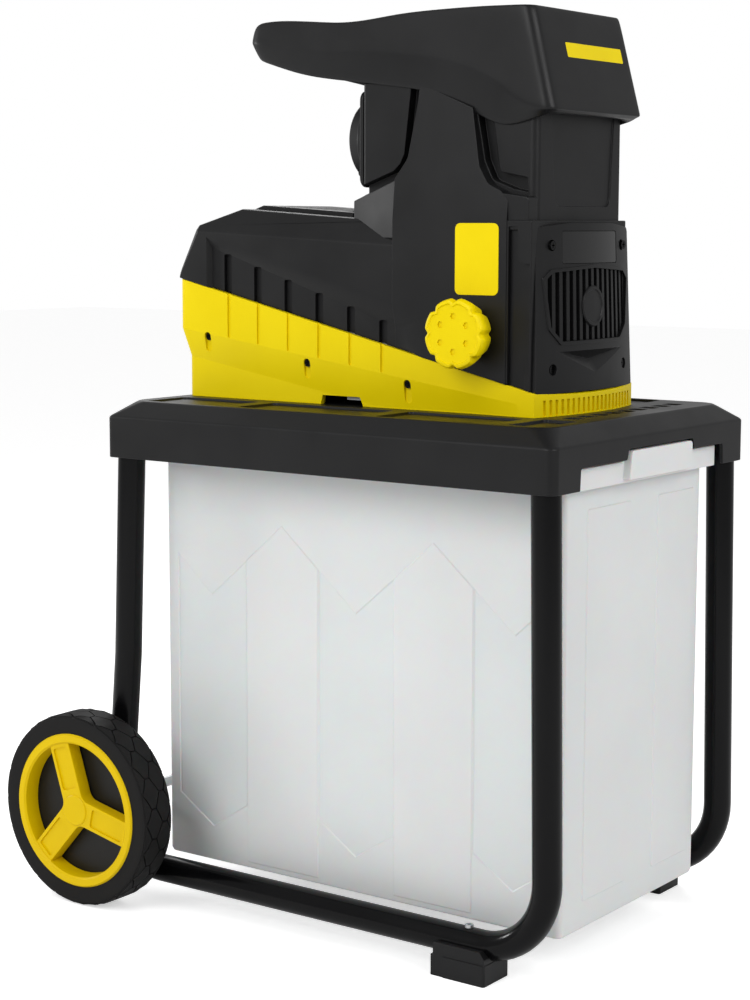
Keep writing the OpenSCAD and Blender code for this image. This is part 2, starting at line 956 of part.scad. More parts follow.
module upper_housing() {
  groove_w = 7;
  groove_step = 42;
  color(black)
    difference() {
      upper_form(0);
      upper_form(house_wall);
      // opening under the tower for the feed chute
      slab(throat[0] - [8, 8], throat[1] + [4, 8], 1, nose_top - 10, nose_top + over);
      // air opening behind the grille
      end_prism(core_front - 2 * house_wall, core_front + over)
        translate([0, grille_z])
          square([2 * grille_half - 24, 50], center = true);
      // sunk field and grooves above the seam on both sides
      both_sides() {
        side_prism(-house_half, -house_half + 3.2)
          polygon([
            [-house_back - over, nose_top - nose_bevel_h + 4],
            [-house_back + 40, nose_top - nose_bevel_h],
            [78, nose_top - 108],
            [side_left, seam_z(side_left) - over],
            [-house_back - over, seam_z(-house_back) - over]
          ]);
        for (i = [0 : 5])
          let (x = -190 + i * groove_step)
            translate([x, -house_half, seam_z(x)])
              box([-groove_w / 2, 0, -5], [groove_w / 2, 4, 46 - i * 3]);
        // seat of the side cover
        side_prism(-house_half - over, -side_in)
          side_outline(gap);
      }
      rod_y(-house_w, 0, knob_x, drum_z, screw_r + 2);
      at_cover_bolts()
        translate([0, 0, -20])
          cylinder(h = 20, d = bolt_d + 2 * gap);
    }
}

module nose_lid() {
  s = lid_size;
  color(black)
    difference() {
      translate([lid_front_x - s[0], 0, nose_top])
        side_prism(-s[1] / 2, s[1] / 2)
          polygon([[0, 0], [s[0], 0], [s[0], s[2]], [8, s[2]], [0, s[2] - 6]]);
      translate([lid_front_x - s[0], 0, nose_top])
        box([14, 12 - s[1] / 2, -over], [s[0] - 6, s[1] / 2 - 12, s[2] - 4]);
    }
}

// Outline of the side covers: a broad panel with a tongue that runs up the tower to the hopper
side_left = 18;
side_right = tower_front - 24;
tongue_top = neck_z + 4;
tongue_x = [62, 124];
// Points along a curve from a to b that is drawn toward a third point
function blend(a, b, pull, n) =
  [for (i = [0 : n]) let (t = i / n, u = 1 - t) a * u * u + pull * 2 * t * u + b * t * t];

module side_outline(grow) {
  left = side_left - grow;
  right = side_right + grow;
  tip = [tongue_x[0] - grow, tongue_x[1] + grow];
  top = tongue_top + grow;
  shoulder = nose_top + grow;
  polygon(concat(
    [[left, seam_z(side_left) + 1 - grow], [right, seam_z(side_right) + 1 - grow]],
    blend([right, shoulder + 6], [tip[1], top], [tip[1] + 12, shoulder + 16], 8),
    blend([tip[0], top], [left, shoulder - 20], [tip[0] - 6, shoulder + 40], 8)
  ));
}

module side_cover() {
  face = house_half + side_proud;
  color(black)
    difference() {
      intersection() {
        union() {
          side_prism(-face, -side_in - gap)
            side_outline(0);
          intersection() {
            side_prism(-face, -tower_half)
              side_outline(0);
            box([0, -house_w, nose_top], [tower_front, 0, hopper_top_z]);
          }
        }
        end_prism(0, tower_front)
          polygon([
            [-face, deck_z], [0, deck_z], [0, tongue_top],
            [-tower_half - 6, tongue_top], [-face, nose_top - 6]
          ]);
      }
      translate([0, 0, -gap])
        side_prism(-house_w, 0)
          hopper_outline(0);
      rod_y(-house_w, 0, knob_x, drum_z, screw_r + 2);
    }
}

module side_cover_near() {
  side_cover();
}

module side_cover_far() {
  mirror([0, 1, 0])
    side_cover();
}

module front_cover() {
  slit_pitch = 2 * grille_half / (grille_bars + 1);
  inner = cover_half - cover_rim;
  inner_z = [cover_low + cover_rim, cover_top - cover_rim];
  color(black)
    difference() {
      intersection() {
        bow(cover_front, cover_low, cover_top);
        union() {
          difference() {
            slab_x(core_front, house_front, -cover_half, cover_half, cover_low, cover_top, 10);
            intersection() {
              slab_x(core_front - over, house_front, -inner, inner, inner_z[0], inner_z[1], 6);
              bow(cover_front - house_wall, cover_low, cover_top);
            }
          }
          at_cover_bolts()
            translate([0, 0, -cover_boss_l])
              cylinder(h = 2 * cover_boss_l, d = bolt_head_d + 6);
        }
      }
      // slits of the grille
      for (i = [0 : grille_bars])
        let (y = slit_pitch * (i - grille_bars / 2), h = grille_h * (1 - 0.3 * abs(y) / grille_half))
          translate([0, y, grille_z])
            box([core_front, -3, -h / 2], [house_front, 3, h / 2]);
      // opening that the window plate fills
      window_block(gap);
      at_cover_bolts() {
        translate([0, 0, -20])
          cylinder(h = 30, d = bolt_d + 2 * gap);
        cylinder(h = 20, d = bolt_head_d + 2);
      }
    }
  color(black)
    intersection() {
      rod_x(core_front + 4, cover_front + 3, [0, grille_z], boss_r);
      bow(cover_front + 3, cover_low, cover_top);
    }
}

// A plate across X with rounded corners
module slab_x(x0, x1, y0, y1, z0, z1, r) {
  end_prism(x0, x1)
    plate_2d([y0, z0], [y1, z1], r);
}

module window_block(grow) {
  half = [window_half + grow, window_h / 2 + grow];
  end_prism(cover_front - window_t - 6, house_front)
    translate([0, window_z])
      square(2 * half, center = true);
}

module front_window() {
  color(dark)
    intersection() {
      window_block(0);
      bow(cover_front + 0.5, cover_low, cover_top);
    }
}

module tower() {
  color(black)
    difference() {
      tower_block(0, nose_top, neck_z + neck_up);
      difference() {
        tower_block(house_wall, nose_top - over, neck_z + neck_up + over);
        box([-tower_back, -tower_half, neck_z - house_wall], [tower_front, tower_half, neck_z]);
      }
      slab(throat[0], throat[1], throat_r, neck_z - 10, neck_z + over);
      translate([0, 0, gap])
        funnel(neck_wall + gap);
      // front panel, sunk a little
      slab_x(tower_front - 1.5, tower_front + over, -62, 62, nose_top + 6, neck_z + 40, 12);
    }
}

module tower_block(inset, z0, z1) {
  a = [inset - tower_back, inset - tower_half];
  b = [tower_front - inset, tower_half - inset];
  slab(a, b, 12 - inset, z0, z1);
}

// The hopper's side outline, from the loading lip round to the front
module hopper_outline(inset) {
  top = hopper_top_z + (inset > 0 ? over : 0);
  lip = inset - lip_back;
  up = [0, inset];
  polygon(concat(
    [[lip + lip_in, top], [lip, hopper_top_z - lip_drop], [lip + lip_low_x, lip_low_z + inset]],
    blend(edge_back + up, edge_mid + up, edge_back_pull + up, 4),
    blend(edge_mid + up, edge_front + up, edge_front_pull + up, 4),
    [[hopper_end_low - inset, hopper_end_z + inset], [hopper_end_top - inset, top]]
  ));
}

module hopper_form(inset) {
  half = hopper_half - inset;
  a = [-lip_back - over, -half];
  b = [hopper_end_low + over, half];
  intersection() {
    side_prism(-half, half)
      hopper_outline(inset);
    slab(a, b, hopper_corner_r, hopper_low_z, hopper_top_z + 2 * over);
  }
}

module hopper() {
  color(black)
    difference() {
      hopper_form(0);
      difference() {
        hopper_form(hopper_wall);
        funnel(neck_wall);
        translate([0, 0, hopper_top_z])
          box([-lip_back - over, -hopper_half, -hopper_wall], [hopper_end_low, hopper_half, 2 * over]);
      }
      funnel(0);
      tower_block(-1, hopper_low_z, neck_z);
      difference() {
        tower_block(-1, hopper_low_z, neck_z + neck_up + over);
        funnel(neck_wall);
      }
      strip_seat(gap);
    }
}

// Leaning frame of the hopper's front wall
module at_hopper_front() {
  lean = atan2(hopper_end_low - hopper_end_top, hopper_top_z - hopper_end_z);
  translate([hopper_end_top, 0, hopper_top_z])
    rotate([0, -lean, 0])
      children();
}

module strip_seat(grow) {
  at_hopper_front()
    box(
      [-strip_t, strip_y[0] - grow, strip_z[0] - grow],
      [2 * strip_t, strip_y[1] + grow, strip_z[1] + grow]
    );
}

module hopper_strip() {
  color(yellow)
    at_hopper_front()
      box([-strip_t, strip_y[0], strip_z[0]], [gap, strip_y[1], strip_z[1]]);
}

module label_plate() {
  color(yellow)
    translate([label_x, -house_half - side_proud, drum_z + label_up])
      box([-label_half[0], -label_t, -label_half[1]], [label_half[0], 0, label_half[1]]);
}

module housing_screws() {
  color(steel)
    at_housing_bolts()
      bolt(bolt_boss_l);
}

module cover_screws() {
  color(steel)
    at_cover_bolts()
      bolt(2 * cover_boss_l);
}

// Controls

module switch_box() {
  s = switch_plate;
  color(black)
    difference() {
      union() {
        translate([switch_x, -tower_half, switch_z - s[2] / 2])
          cube(s);
        rod_x(switch_x - switch_sink, switch_x + 1, [switch_y, switch_z], switch_d / 2);
      }
      rod_x(switch_x - 2 * switch_sink, switch_x - switch_floor, [switch_y, switch_z], switch_knob_r + 2);
      rod_x(switch_x - switch_sink, switch_x + 3, [switch_y, switch_z], spindle_r + play);
      rod_x(switch_x - over, switch_x + 4, [reset_at[1], reset_at[2]], reset_r + gap);
      translate([switch_x - over, inlet_at[1] - inlet_size[1] / 2 + 6, inlet_at[2] - inlet_size[2] / 2 + 6])
        cube([20, inlet_size[1] - 12, inlet_size[2] - 12]);
    }
}

module switch_knob() {
  color(dark) {
    rod_x(switch_x - switch_out, switch_x - switch_floor - gap, [switch_y, switch_z], switch_knob_r);
    rod_x(switch_x - 4, switch_x + 2, [switch_y, switch_z], spindle_r);
    translate([switch_x - switch_out - 5, switch_y - 4, switch_z - switch_knob_r + 3])
      cube([6, 8, 2 * switch_knob_r - 6]);
  }
}

module reset_button() {
  color(yellow)
    rod_x(switch_x - 4, switch_x + 1.5, [reset_at[1], reset_at[2]], reset_r);
}

module power_inlet() {
  s = inlet_size;
  w = 12;
  color(dark)
    translate([switch_x - s[0], inlet_at[1] - s[1] / 2, inlet_at[2] - s[2] / 2])
      difference() {
        cube(s);
        translate([-over, 5, 5])
          cube([s[0] - 3, s[1] - 10, s[2] - 10]);
      }
  color(steel)
    for (y = [-8, 8])
      rod_x(switch_x - w, switch_x - 2.5, [inlet_at[1] + y, inlet_at[2]], 2.4);
}

// Motor

module ring_x(x0, x1, at, r_out, r_in) {
  difference() {
    rod_x(x0, x1, at, r_out);
    rod_x(x0 - over, x1 + over, at, r_in);
  }
}

module motor_stator() {
  color("#8c7a62")
    ring_x(stator_x, stator_x + stator_l, motor_at, stator_d / 2, rotor_r + air_gap);
}

module motor_rotor() {
  color(steel) {
    rod_x(stator_x, stator_x + stator_l, motor_at, rotor_r);
    rod_x(fan_x - 4, motor_front_x + 2, motor_at, motor_shaft_r);
    hex_x(motor_front_x, plane_1[1], motor_at, pinion_hex_r - gap / 2);
  }
}

module motor_pinion() {
  color(steel)
    gear(module_1, pinion_teeth, plane_1, motor_at, aim(motor_at, first_at), pinion_hex_r);
}

module motor_fan() {
  blades = 9;
  r = stator_d / 2 - 6;
  color(black)
    difference() {
      union() {
        rod_x(fan_x, fan_x + 4, motor_at, r);
        rod_x(fan_x, fan_x + fan_t, motor_at, motor_shaft_r + 6);
        translate([fan_x, motor_at[0], motor_at[1]])
          rotate([90, 0, 90])
            for (i = [0 : blades - 1])
              rotate(i * 360 / blades)
                translate([motor_shaft_r + 4, -1.5, 0])
                  cube([r - motor_shaft_r - 5, 3, fan_t]);
      }
      rod_x(fan_x - over, fan_x + fan_t + over, motor_at, motor_shaft_r + gap / 3);
    }
}

module motor_front_shield() {
  x = motor_front_x - shield_t;
  color("#9a9ca0")
    difference() {
      rod_x(x, motor_front_x, motor_at, shield_r);
      rod_x(x - over, x + 6, motor_at, stator_d / 2 - 8);
      rod_x(x, x + 6 + bearing_t, motor_at, bearing_r);
      rod_x(x, motor_front_x + over, motor_at, motor_shaft_r + 1);
    }
}

module motor_rear_shield() {
  x = stator_x - rear_shield_t;
  color("#9a9ca0")
    difference() {
      union() {
        rod_x(x, stator_x, motor_at, shield_r);
        box([x, -40, deck_top + house_wall], [stator_x, 40, motor_z - shield_r / 2]);
      }
      rod_x(stator_x - 5, stator_x + over, motor_at, stator_d / 2 - 8);
      rod_x(x - over, x + bearing_t, motor_at, bearing_r);
      rod_x(x, stator_x, motor_at, motor_shaft_r + 1);
    }
}

module motor_bearings() {
  color(steel)
    for (x = [motor_front_x - shield_t + 6, stator_x - rear_shield_t])
      ring_x(x, x + bearing_t, motor_at, bearing_r, motor_shaft_r + play);
}

module capacitor() {
  r = 19;
  color("#c9cacb")
    rod_x(stator_x + 15, stator_x + 95, [70, deck_top + house_wall + r], r);
}

// Gearbox

module gear_case() {
  a = [case_back, case_y[0], case_z[0]];
  b = [case_front, case_y[1], case_z[1]];
  w = case_wall;
  color("#7d8084")
    difference() {
      box(a, b);
      box(a + [-over, w, w], b - [end_wall, w, w]);
      rod_x(0, case_front + over, second_at, journal_r + play);
      rod_x(0, case_front + over, drum_at, bearing_r + 3);
    }
}

module gear_case_cover() {
  color("#7d8084")
    difference() {
      box([motor_front_x, case_y[0], case_z[0]], [case_back, case_y[1], case_z[1]]);
      for (at = [first_at, second_at])
        rod_x(motor_front_x - over, case_back + over, at, journal_r + play);
      rod_x(motor_front_x - over, case_back + over, motor_at, motor_shaft_r + 1);
    }
}

module bearing_plate() {
  w = case_wall;
  color("#7d8084")
    difference() {
      box([plate_x[0], case_y[0] + w, case_z[0] + w], [plate_x[1], case_y[1] - w, case_z[1] - w]);
      rod_x(plate_x[0] - over, plate_x[1] + over, first_at, journal_r + play);
      rod_x(plate_x[0] - over, plate_x[1] + over, second_at, hex_r + 2);
    }
}

module countershaft(at, hex_to, end) {
  rod_x(motor_front_x, case_back + over, at, journal_r);
  hex_x(case_back + gap, hex_to - gap, at, hex_r - gap);
  rod_x(hex_to - over, end, at, journal_r);
}

module first_shaft() {
  color(steel)
    countershaft(first_at, plate_x[0], plate_x[1]);
}

module second_shaft() {
  color(steel)
    countershaft(second_at, case_front - end_wall, case_front);
}

module first_gear() {
  color("#8f9296")
    gear(module_1, gear_teeth, plane_1, first_at, aim(motor_at, first_at) + 180 - 180 / gear_teeth, hex_r);
}

module first_pinion() {
  color(steel)
    gear(module_2, pinion_teeth, plane_2, first_at, aim(first_at, second_at), hex_r);
}

module second_gear() {
  color("#8f9296")
    gear(module_2, gear_teeth, plane_2, second_at, aim(first_at, second_at) + 180 - 180 / gear_teeth, hex_r);
}

module second_pinion() {
  color(steel)
    gear(module_3, pinion_teeth, plane_3, second_at, aim(second_at, drum_at), hex_r);
}

module drum_gear() {
  turn = aim(second_at, drum_at) + 180 - 180 / drum_gear_teeth;
  color("#8f9296")
    gear(module_3, drum_gear_teeth, plane_3, drum_at, turn, drum_hex_r);
}

// Cutter

module drum_shaft() {
  color(steel) {
    hex_x(plane_3[0], plane_3[1] + 3, drum_at, drum_hex_r - gap);
    rod_x(plane_3[1] + 2, cut_front + cut_wall, drum_at, shaft_r);
  }
}

module drum_bearings() {
  color(steel) {
    ring_x(case_front - end_wall, case_front, drum_at, bearing_r + 3, shaft_r + play);
    ring_x(cut_front, cut_front + cut_wall, drum_at, bearing_r, shaft_r + play);
  }
}

module cutting_drum() {
  x0 = case_front + 8;
  tooth_h = 9;
  root = drum_r - tooth_h;
  tip = drum_r - 0.6;
  color("#6d7074")
    difference() {
      union() {
        rod_x(x0, x0 + drum_l, drum_at, root);
        translate([x0, drum_at[0], drum_at[1]])
          rotate([90, 0, 90])
            linear_extrude(drum_l)
              for (i = [0 : drum_teeth - 1])
                rotate(i * 360 / drum_teeth)
                  polygon([[root - 4, -9], [root, -9], [tip, 0], [tip, 4], [root - 4, 5]]);
      }
      rod_x(x0 - over, x0 + drum_l + over, drum_at, shaft_r + gap / 3);
    }
}

module cutter_housing() {
  w = cut_wall;
  color("#55585c")
    difference() {
      union() {
        box([case_front, cut_y0 - w, cut_low], [cut_front, cut_y0, cut_top]);
        box([case_front, cut_y1, cut_low], [cut_front, cut_y1 + w, cut_top]);
        box([cut_front, cut_y0 - w, cut_low], [cut_front + w, cut_y1 + w, cut_top]);
      }
      rod_y(cut_y0 - w - over, cut_y0 + over, knob_x, drum_z, screw_r + play);
      rod_x(cut_front - over, cut_front + w + over, drum_at, bearing_r);
    }
}

module pressure_plate() {
  color("#6d7074")
    difference() {
      box([case_front + gap, plate_y0, plate_z[0]], [cut_front - gap, plate_y1, plate_z[1]]);
      rod_y(plate_y0 - over, plate_y1 + over, knob_x, drum_z, screw_r + gap);
    }
}

module adjuster_screw() {
  color(steel)
    rod_y(-knob_y - knob_l + 6, plate_y1 - 3, knob_x, drum_z, screw_r);
}

module adjuster_knob() {
  lobes = 8;
  lobe_r = knob_d * 0.13;
  r = knob_d / 2;
  color(yellow)
    translate([knob_x, -knob_y, drum_z])
      rotate([90, 0, 0])
        difference() {
          union() {
            linear_extrude(knob_l - 6) {
              circle(r - lobe_r);
              for (i = [0 : lobes - 1])
                rotate((i + 0.5) * 360 / lobes)
                  translate([r - lobe_r, 0])
                    circle(lobe_r);
            }
            cylinder(h = knob_l, r = r - lobe_r - 6);
          }
          for (i = [0 : 5])
            rotate(i * 60)
              translate([r - lobe_r - 12, 0, knob_l - 4])
                cylinder(h = 6, r = 4);
          translate([0, 0, -over])
            cylinder(h = knob_l - 6 + over, r = screw_r + gap / 3);
        }
}

module feed_chute() {
  w = [chute_wall, chute_wall];
  color("#3a3a3c")
    difference() {
      slab(throat[0] - w + [0.5, 0], throat[1] + w, 8 + chute_wall, cut_top, neck_z - house_wall);
      slab(throat[0] + [0.5, 0], throat[1], 8, cut_top - over, neck_z);
    }
}

// Moves a piece from the deck's middle to the machine's own origin
module placed() {
  translate([deck_cx, 0, 0])
    children();
}

placed() frame_tube_near();
placed() frame_tube_far();
placed() foot_near();
placed() foot_far();
placed() foot_screws();
placed() axle();
placed() axle_nuts();
placed() tyre_near();
placed() rim_near();
placed() wheel_cover_near();
placed() tyre_far();
placed() rim_far();
placed() wheel_cover_far();
placed() deck();
placed() interlock_switch();
placed() interlock_plunger();
placed() bin();
placed() lower_housing();
placed() upper_housing();
placed() nose_lid();
placed() side_cover_near();
placed() side_cover_far();
placed() front_cover();
placed() front_window();
placed() tower();
placed() hopper();
placed() hopper_strip();
placed() label_plate();
placed() housing_screws();
placed() cover_screws();
placed() switch_box();
placed() switch_knob();
placed() reset_button();
placed() power_inlet();
placed() motor_stator();
placed() motor_rotor();
placed() motor_fan();
placed() motor_front_shield();
placed() motor_rear_shield();
placed() motor_bearings();
placed() capacitor();
placed() gear_case();
placed() gear_case_cover();
placed() bearing_plate();
placed() motor_pinion();
placed() first_shaft();
placed() first_gear();
placed() first_pinion();
placed() second_shaft();
placed() second_gear();
placed() second_pinion();
placed() drum_gear();
placed() drum_shaft();
placed() drum_bearings();
placed() cutting_drum();
placed() cutter_housing();
placed() pressure_plate();
placed() adjuster_screw();
placed() adjuster_knob();
placed() feed_chute();
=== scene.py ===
"""Looks of a garden shredder: its visible pieces modelled round the CAD frame, materials and a studio."""

import json
import math

import bmesh
import bpy
from bpy.props import FloatProperty, FloatVectorProperty, IntProperty, PointerProperty
from bpy.types import Operator, Panel, PropertyGroup
from mathutils import Matrix, Vector


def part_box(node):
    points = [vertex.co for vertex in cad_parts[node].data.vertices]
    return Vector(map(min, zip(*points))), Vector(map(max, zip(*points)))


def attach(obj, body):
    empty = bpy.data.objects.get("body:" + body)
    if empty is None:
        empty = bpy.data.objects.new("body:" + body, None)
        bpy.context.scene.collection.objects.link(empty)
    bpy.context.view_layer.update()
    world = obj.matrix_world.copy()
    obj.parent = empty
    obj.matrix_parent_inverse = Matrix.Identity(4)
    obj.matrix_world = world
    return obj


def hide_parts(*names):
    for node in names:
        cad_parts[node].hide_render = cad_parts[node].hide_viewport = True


bl_info = {
    "name": "Garden shredder",
    "version": (1, 0, 0),
    "blender": (4, 5, 0),
    "location": "View3D > Sidebar > Shredder",
    "description": "Models a garden shredder's visible pieces round its CAD frame and sets up the studio",
    "category": "Object",
}

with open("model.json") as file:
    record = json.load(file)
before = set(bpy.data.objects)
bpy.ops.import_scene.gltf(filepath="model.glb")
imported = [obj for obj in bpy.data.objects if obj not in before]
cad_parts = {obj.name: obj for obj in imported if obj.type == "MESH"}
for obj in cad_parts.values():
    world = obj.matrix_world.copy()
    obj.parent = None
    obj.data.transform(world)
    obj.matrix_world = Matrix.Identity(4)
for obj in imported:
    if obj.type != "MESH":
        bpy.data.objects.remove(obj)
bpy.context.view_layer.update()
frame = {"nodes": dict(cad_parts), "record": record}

MILLI = 1000

# The deck's middle is the origin of every drawing below, in millimetres with z up from the floor.
DECK_LOW, DECK_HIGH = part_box("deck")
TO_FRAME = Matrix.Translation(((DECK_LOW.x + DECK_HIGH.x) / 2, 0, 0)) @ Matrix.Scale(1 / MILLI, 4)

# Turns of a flat drawing (u, v) and its depth into a point: side views, front views and plans.
SIDE = Matrix(((1, 0, 0), (0, 0, 1), (0, 1, 0)))
FRONT = Matrix(((0, 0, 1), (1, 0, 0), (0, 1, 0)))
PLAN = Matrix.Identity(3)

# A cutter reaches this far past the face that it opens.
PAST = 9

# Points nearer than this are one point, and faces that meet flatter than this are one face.
WELD = 0.02
FLAT = math.radians(0.4)

# A spun profile ends this near its axis, where its points become one pole.
POLE = 0.01

# A point in the housing, on the side of a shaving cut that stays.
HOUSE_MIDDLE = Vector((0, 0, 650))

WHITE = (1, 1, 1, 1)

SLOTS = {part["node"]: part["material_slot"] for part in frame["record"]["subparts"]}
BODIES = {node: body for body, nodes in frame["record"]["behaviour"]["bodies"].items() for node in nodes}


# Shapes


def span(node):
    """Lowest and highest corner of a CAD node, in deck millimetres."""
    to_deck = TO_FRAME.inverted()
    return [to_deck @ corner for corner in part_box(node)]


def middle(node):
    """Middle of a CAD node's box, in deck millimetres."""
    return [(low + high) / 2 for low, high in zip(*span(node))]


def arcs(corners, steps):
    """The rounding arc at each corner (u, v, radius) of a closed outline."""
    rows = []
    for i, (u, v, radius) in enumerate(corners):
        here = Vector((u, v))
        back = (Vector(corners[i - 1][:2]) - here).normalized()
        ahead = (Vector(corners[(i + 1) % len(corners)][:2]) - here).normalized()
        half = back.angle(ahead) / 2
        if radius == 0:
            rows.append([here])
            continue
        centre = here + (back + ahead).normalized() * radius / math.sin(half)
        start = here + back * radius / math.tan(half) - centre
        stop = here + ahead * radius / math.tan(half) - centre
        turn = math.atan2(start.x * stop.y - start.y * stop.x, start.dot(stop))
        rows.append([centre + Matrix.Rotation(turn * k / steps, 2) @ start for k in range(steps + 1)])
    return rows


def rounded(corners, steps=6):
    """Points of a closed outline with rounded corners (u, v, radius)."""
    return [point for row in arcs(corners, steps) for point in row]


def oblong(left, right, low, high, radius, steps=6):
    """A rectangle with rounded corners."""
    sides = [(left, low), (right, low), (right, high), (left, high)]
    return rounded([(u, v, radius) for u, v in sides], steps)


def circle(u, v, radius, steps=32):
    """Points round a circle."""
    angles = [2 * math.pi * k / steps for k in range(steps)]
    return [Vector((u + radius * math.cos(a), v + radius * math.sin(a))) for a in angles]


def through(stations):
    """A smooth height along x through stations (x, z)."""
    xs, zs = zip(*stations)
    last = len(xs) - 1
    slopes = []
    for i in range(last + 1):
        a, b = max(i - 1, 0), min(i + 1, last)
        slopes.append((zs[b] - zs[a]) / (xs[b] - xs[a]))

    def height(x):
        x = min(max(x, xs[0]), xs[-1])
        i = min(max(k for k in range(last + 1) if xs[k] <= x), last - 1)
        run = xs[i + 1] - xs[i]
        t = (x - xs[i]) / run
        return (
            zs[i] * (1 + 2 * t) * (1 - t) ** 2
            + slopes[i] * run * t * (1 - t) ** 2
            + zs[i + 1] * t * t * (3 - 2 * t)
            + slopes[i + 1] * run * t * t * (t - 1)
        )

    return height


def line(x0, z0, x1, z1):
    """A straight height along x."""
    return lambda x: z0 + (z1 - z0) * (x - x0) / (x1 - x0)


def tray(back, front, near, far, r_back, r_front, height, along=16, across=6, steps=5):
    """A closed ring round a tray, with even steps along its sides and a height that follows x."""
    corners = [(back, near, r_back), (front, near, r_front), (front, far, r_front), (back, far, r_back)]
    rows = arcs(corners, steps)
    points = []
    for i, row in enumerate(rows):
        count = across if i % 2 else along
        points += row
        points += [row[-1].lerp(rows[(i + 1) % 4][0], k / count) for k in range(1, count)]
    return [Vector((p.x, p.y, height(p.x))) for p in points]


def loft(bm, rings, caps=True, closed=False):
    """Skin a row of closed rings with equally many points; the ends are capped or joined to each other."""
    row = [bm.verts.new(point) for point in rings[0]]
    edges = [bm.edges.new(pair) for pair in zip(row, row[1:] + row[:1])]
    first_edges = edges
    for ring in rings[1:]:
        made = bmesh.ops.extrude_edge_only(bm, edges=edges)["geom"]
        fresh = {item for item in made if isinstance(item, bmesh.types.BMVert)}
        row = [next(e.other_vert(v) for e in v.link_edges if e.other_vert(v) in fresh) for v in row]
        edges = [bm.edges.get(pair) for pair in zip(row, row[1:] + row[:1])]
        for vert, point in zip(row, ring):
            vert.co = point
    if closed:
        bmesh.ops.bridge_loops(bm, edges=first_edges + edges)
    elif caps:
        bmesh.ops.contextual_create(bm, geom=first_edges)
        bmesh.ops.contextual_create(bm, geom=edges)
    bmesh.ops.recalc_face_normals(bm, faces=bm.faces)
    return bm


def prism(bm, outline, view, low, high):
    """A flat drawing pulled from one depth to another."""
    return loft(bm, [[view @ Vector((u, v, depth)) for u, v in outline] for depth in sorted((low, high))])


def solid(outline, view, low, high):
    """A flat drawing pulled into a closed shape of its own."""
    return prism(bmesh.new(), outline, view, low, high)


def block(bm, low, high):
    """A box between two corners."""
    outline = [(low[0], low[1]), (high[0], low[1]), (high[0], high[1]), (low[0], high[1])]
    return prism(bm, outline, PLAN, low[2], high[2])


def turned(bm, profile, centre, axis, steps):
    """A closed profile spun once round an axis; points on the axis become poles."""
    before = set(bm.verts)
    verts = [bm.verts.new(point) for point in profile]
    edges = [bm.edges.new(pair) for pair in zip(verts, verts[1:] + verts[:1])]
    bmesh.ops.spin(
        bm,
        geom=verts + edges,
        cent=centre,
        axis=axis,
        dvec=(0, 0, 0),
        angle=2 * math.pi,
        steps=steps,
        use_merge=True,
        use_duplicate=False,
    )
    bmesh.ops.remove_doubles(bm, verts=[v for v in bm.verts if v not in before], dist=POLE)
    bmesh.ops.delete(bm, geom=[e for e in bm.edges if not e.link_faces], context="EDGES")
    bmesh.ops.recalc_face_normals(bm, faces=bm.faces)
    return bm


def lathe(bm, steps, y, z, segments):
    """A profile of steps (x, radius) spun round an axis along x."""
    profile = [Vector((x, y + radius, z)) for x, radius in steps]
    return turned(bm, profile, (0, y, z), (1, 0, 0), segments)


def band(points, width):
    """The outline of a strip of even width along a bent line."""
    left, right = [], []
    for i, (u, v) in enumerate(points):
        here = Vector((u, v))
        ways = []
        if i > 0:
            ways.append((here - Vector(points[i - 1])).normalized())
        if i < len(points) - 1:
            ways.append((Vector(points[i + 1]) - here).normalized())
        along = sum(ways, Vector((0, 0))).normalized()
        side = Vector((-along.y, along.x)) * width / 2 / along.dot(ways[0])
        left.append(here + side)
        right.append(here - side)
    return left + right[::-1]


def inset(outline, by):
    """A closed outline drawn in by a distance, with its points in the same order."""
    points = [Vector(p) for p in outline]
    area = sum(a.x * b.y - a.y * b.x for a, b in zip(points, points[1:] + points[:1]))
    moved = []
    for i, here in enumerate(points):
        back = (here - points[i - 1]).normalized()
        ahead = (points[(i + 1) % len(points)] - here).normalized()
        side = Vector((-back.y - ahead.y, back.x + ahead.x))
        moved.append(here + side * math.copysign(by, area) / (1 + back.dot(ahead)))
    return moved


def combine(bm, other, operation):
    """One closed bmesh cut by, joined with or kept within another, which is used up."""
    pair = []
    for source in (bm, other):
        mesh = bpy.data.meshes.new("work")
        source.to_mesh(mesh)
        source.free()
        pair.append(bpy.data.objects.new("work", mesh))
        bpy.context.scene.collection.objects.link(pair[-1])
    cut = pair[0].modifiers.new("cut", "BOOLEAN")
    cut.object = pair[1]
    cut.operation = operation
    cut.solver = "EXACT"
    evaluated = pair[0].evaluated_get(bpy.context.evaluated_depsgraph_get())
    result = bmesh.new()
    result.from_mesh(evaluated.to_mesh())
    evaluated.to_mesh_clear()
    for obj in pair:
        mesh = obj.data
        bpy.data.objects.remove(obj)
        bpy.data.meshes.remove(mesh)
    if not result.faces:
        raise RuntimeError("a cut left nothing")
    return result


def carve(bm, cutter):
    """Cut one closed bmesh out of another."""
    return combine(bm, cutter, "DIFFERENCE")


def put_in(bm, other):
    """Add a bmesh to another as a part of its own."""
    mesh = bpy.data.meshes.new("work")
    other.to_mesh(mesh)
    other.free()
    bm.from_mesh(mesh)
    bpy.data.meshes.remove(mesh)
    return bm


def slice_at(bm, point, normal, clear=False):
    """Cut a bmesh along a plane, and clear and close what lies beyond it if asked."""
    made = bmesh.ops.bisect_plane(
        bm,
        geom=bm.verts[:] + bm.edges[:] + bm.faces[:],
        dist=0.0001,
        plane_co=point,
        plane_no=normal,
        clear_outer=clear,
    )
    if clear:
        edges = [item for item in made["geom_cut"] if isinstance(item, bmesh.types.BMEdge)]
        bmesh.ops.contextual_create(bm, geom=edges)
        bmesh.ops.recalc_face_normals(bm, faces=bm.faces)
    return bm


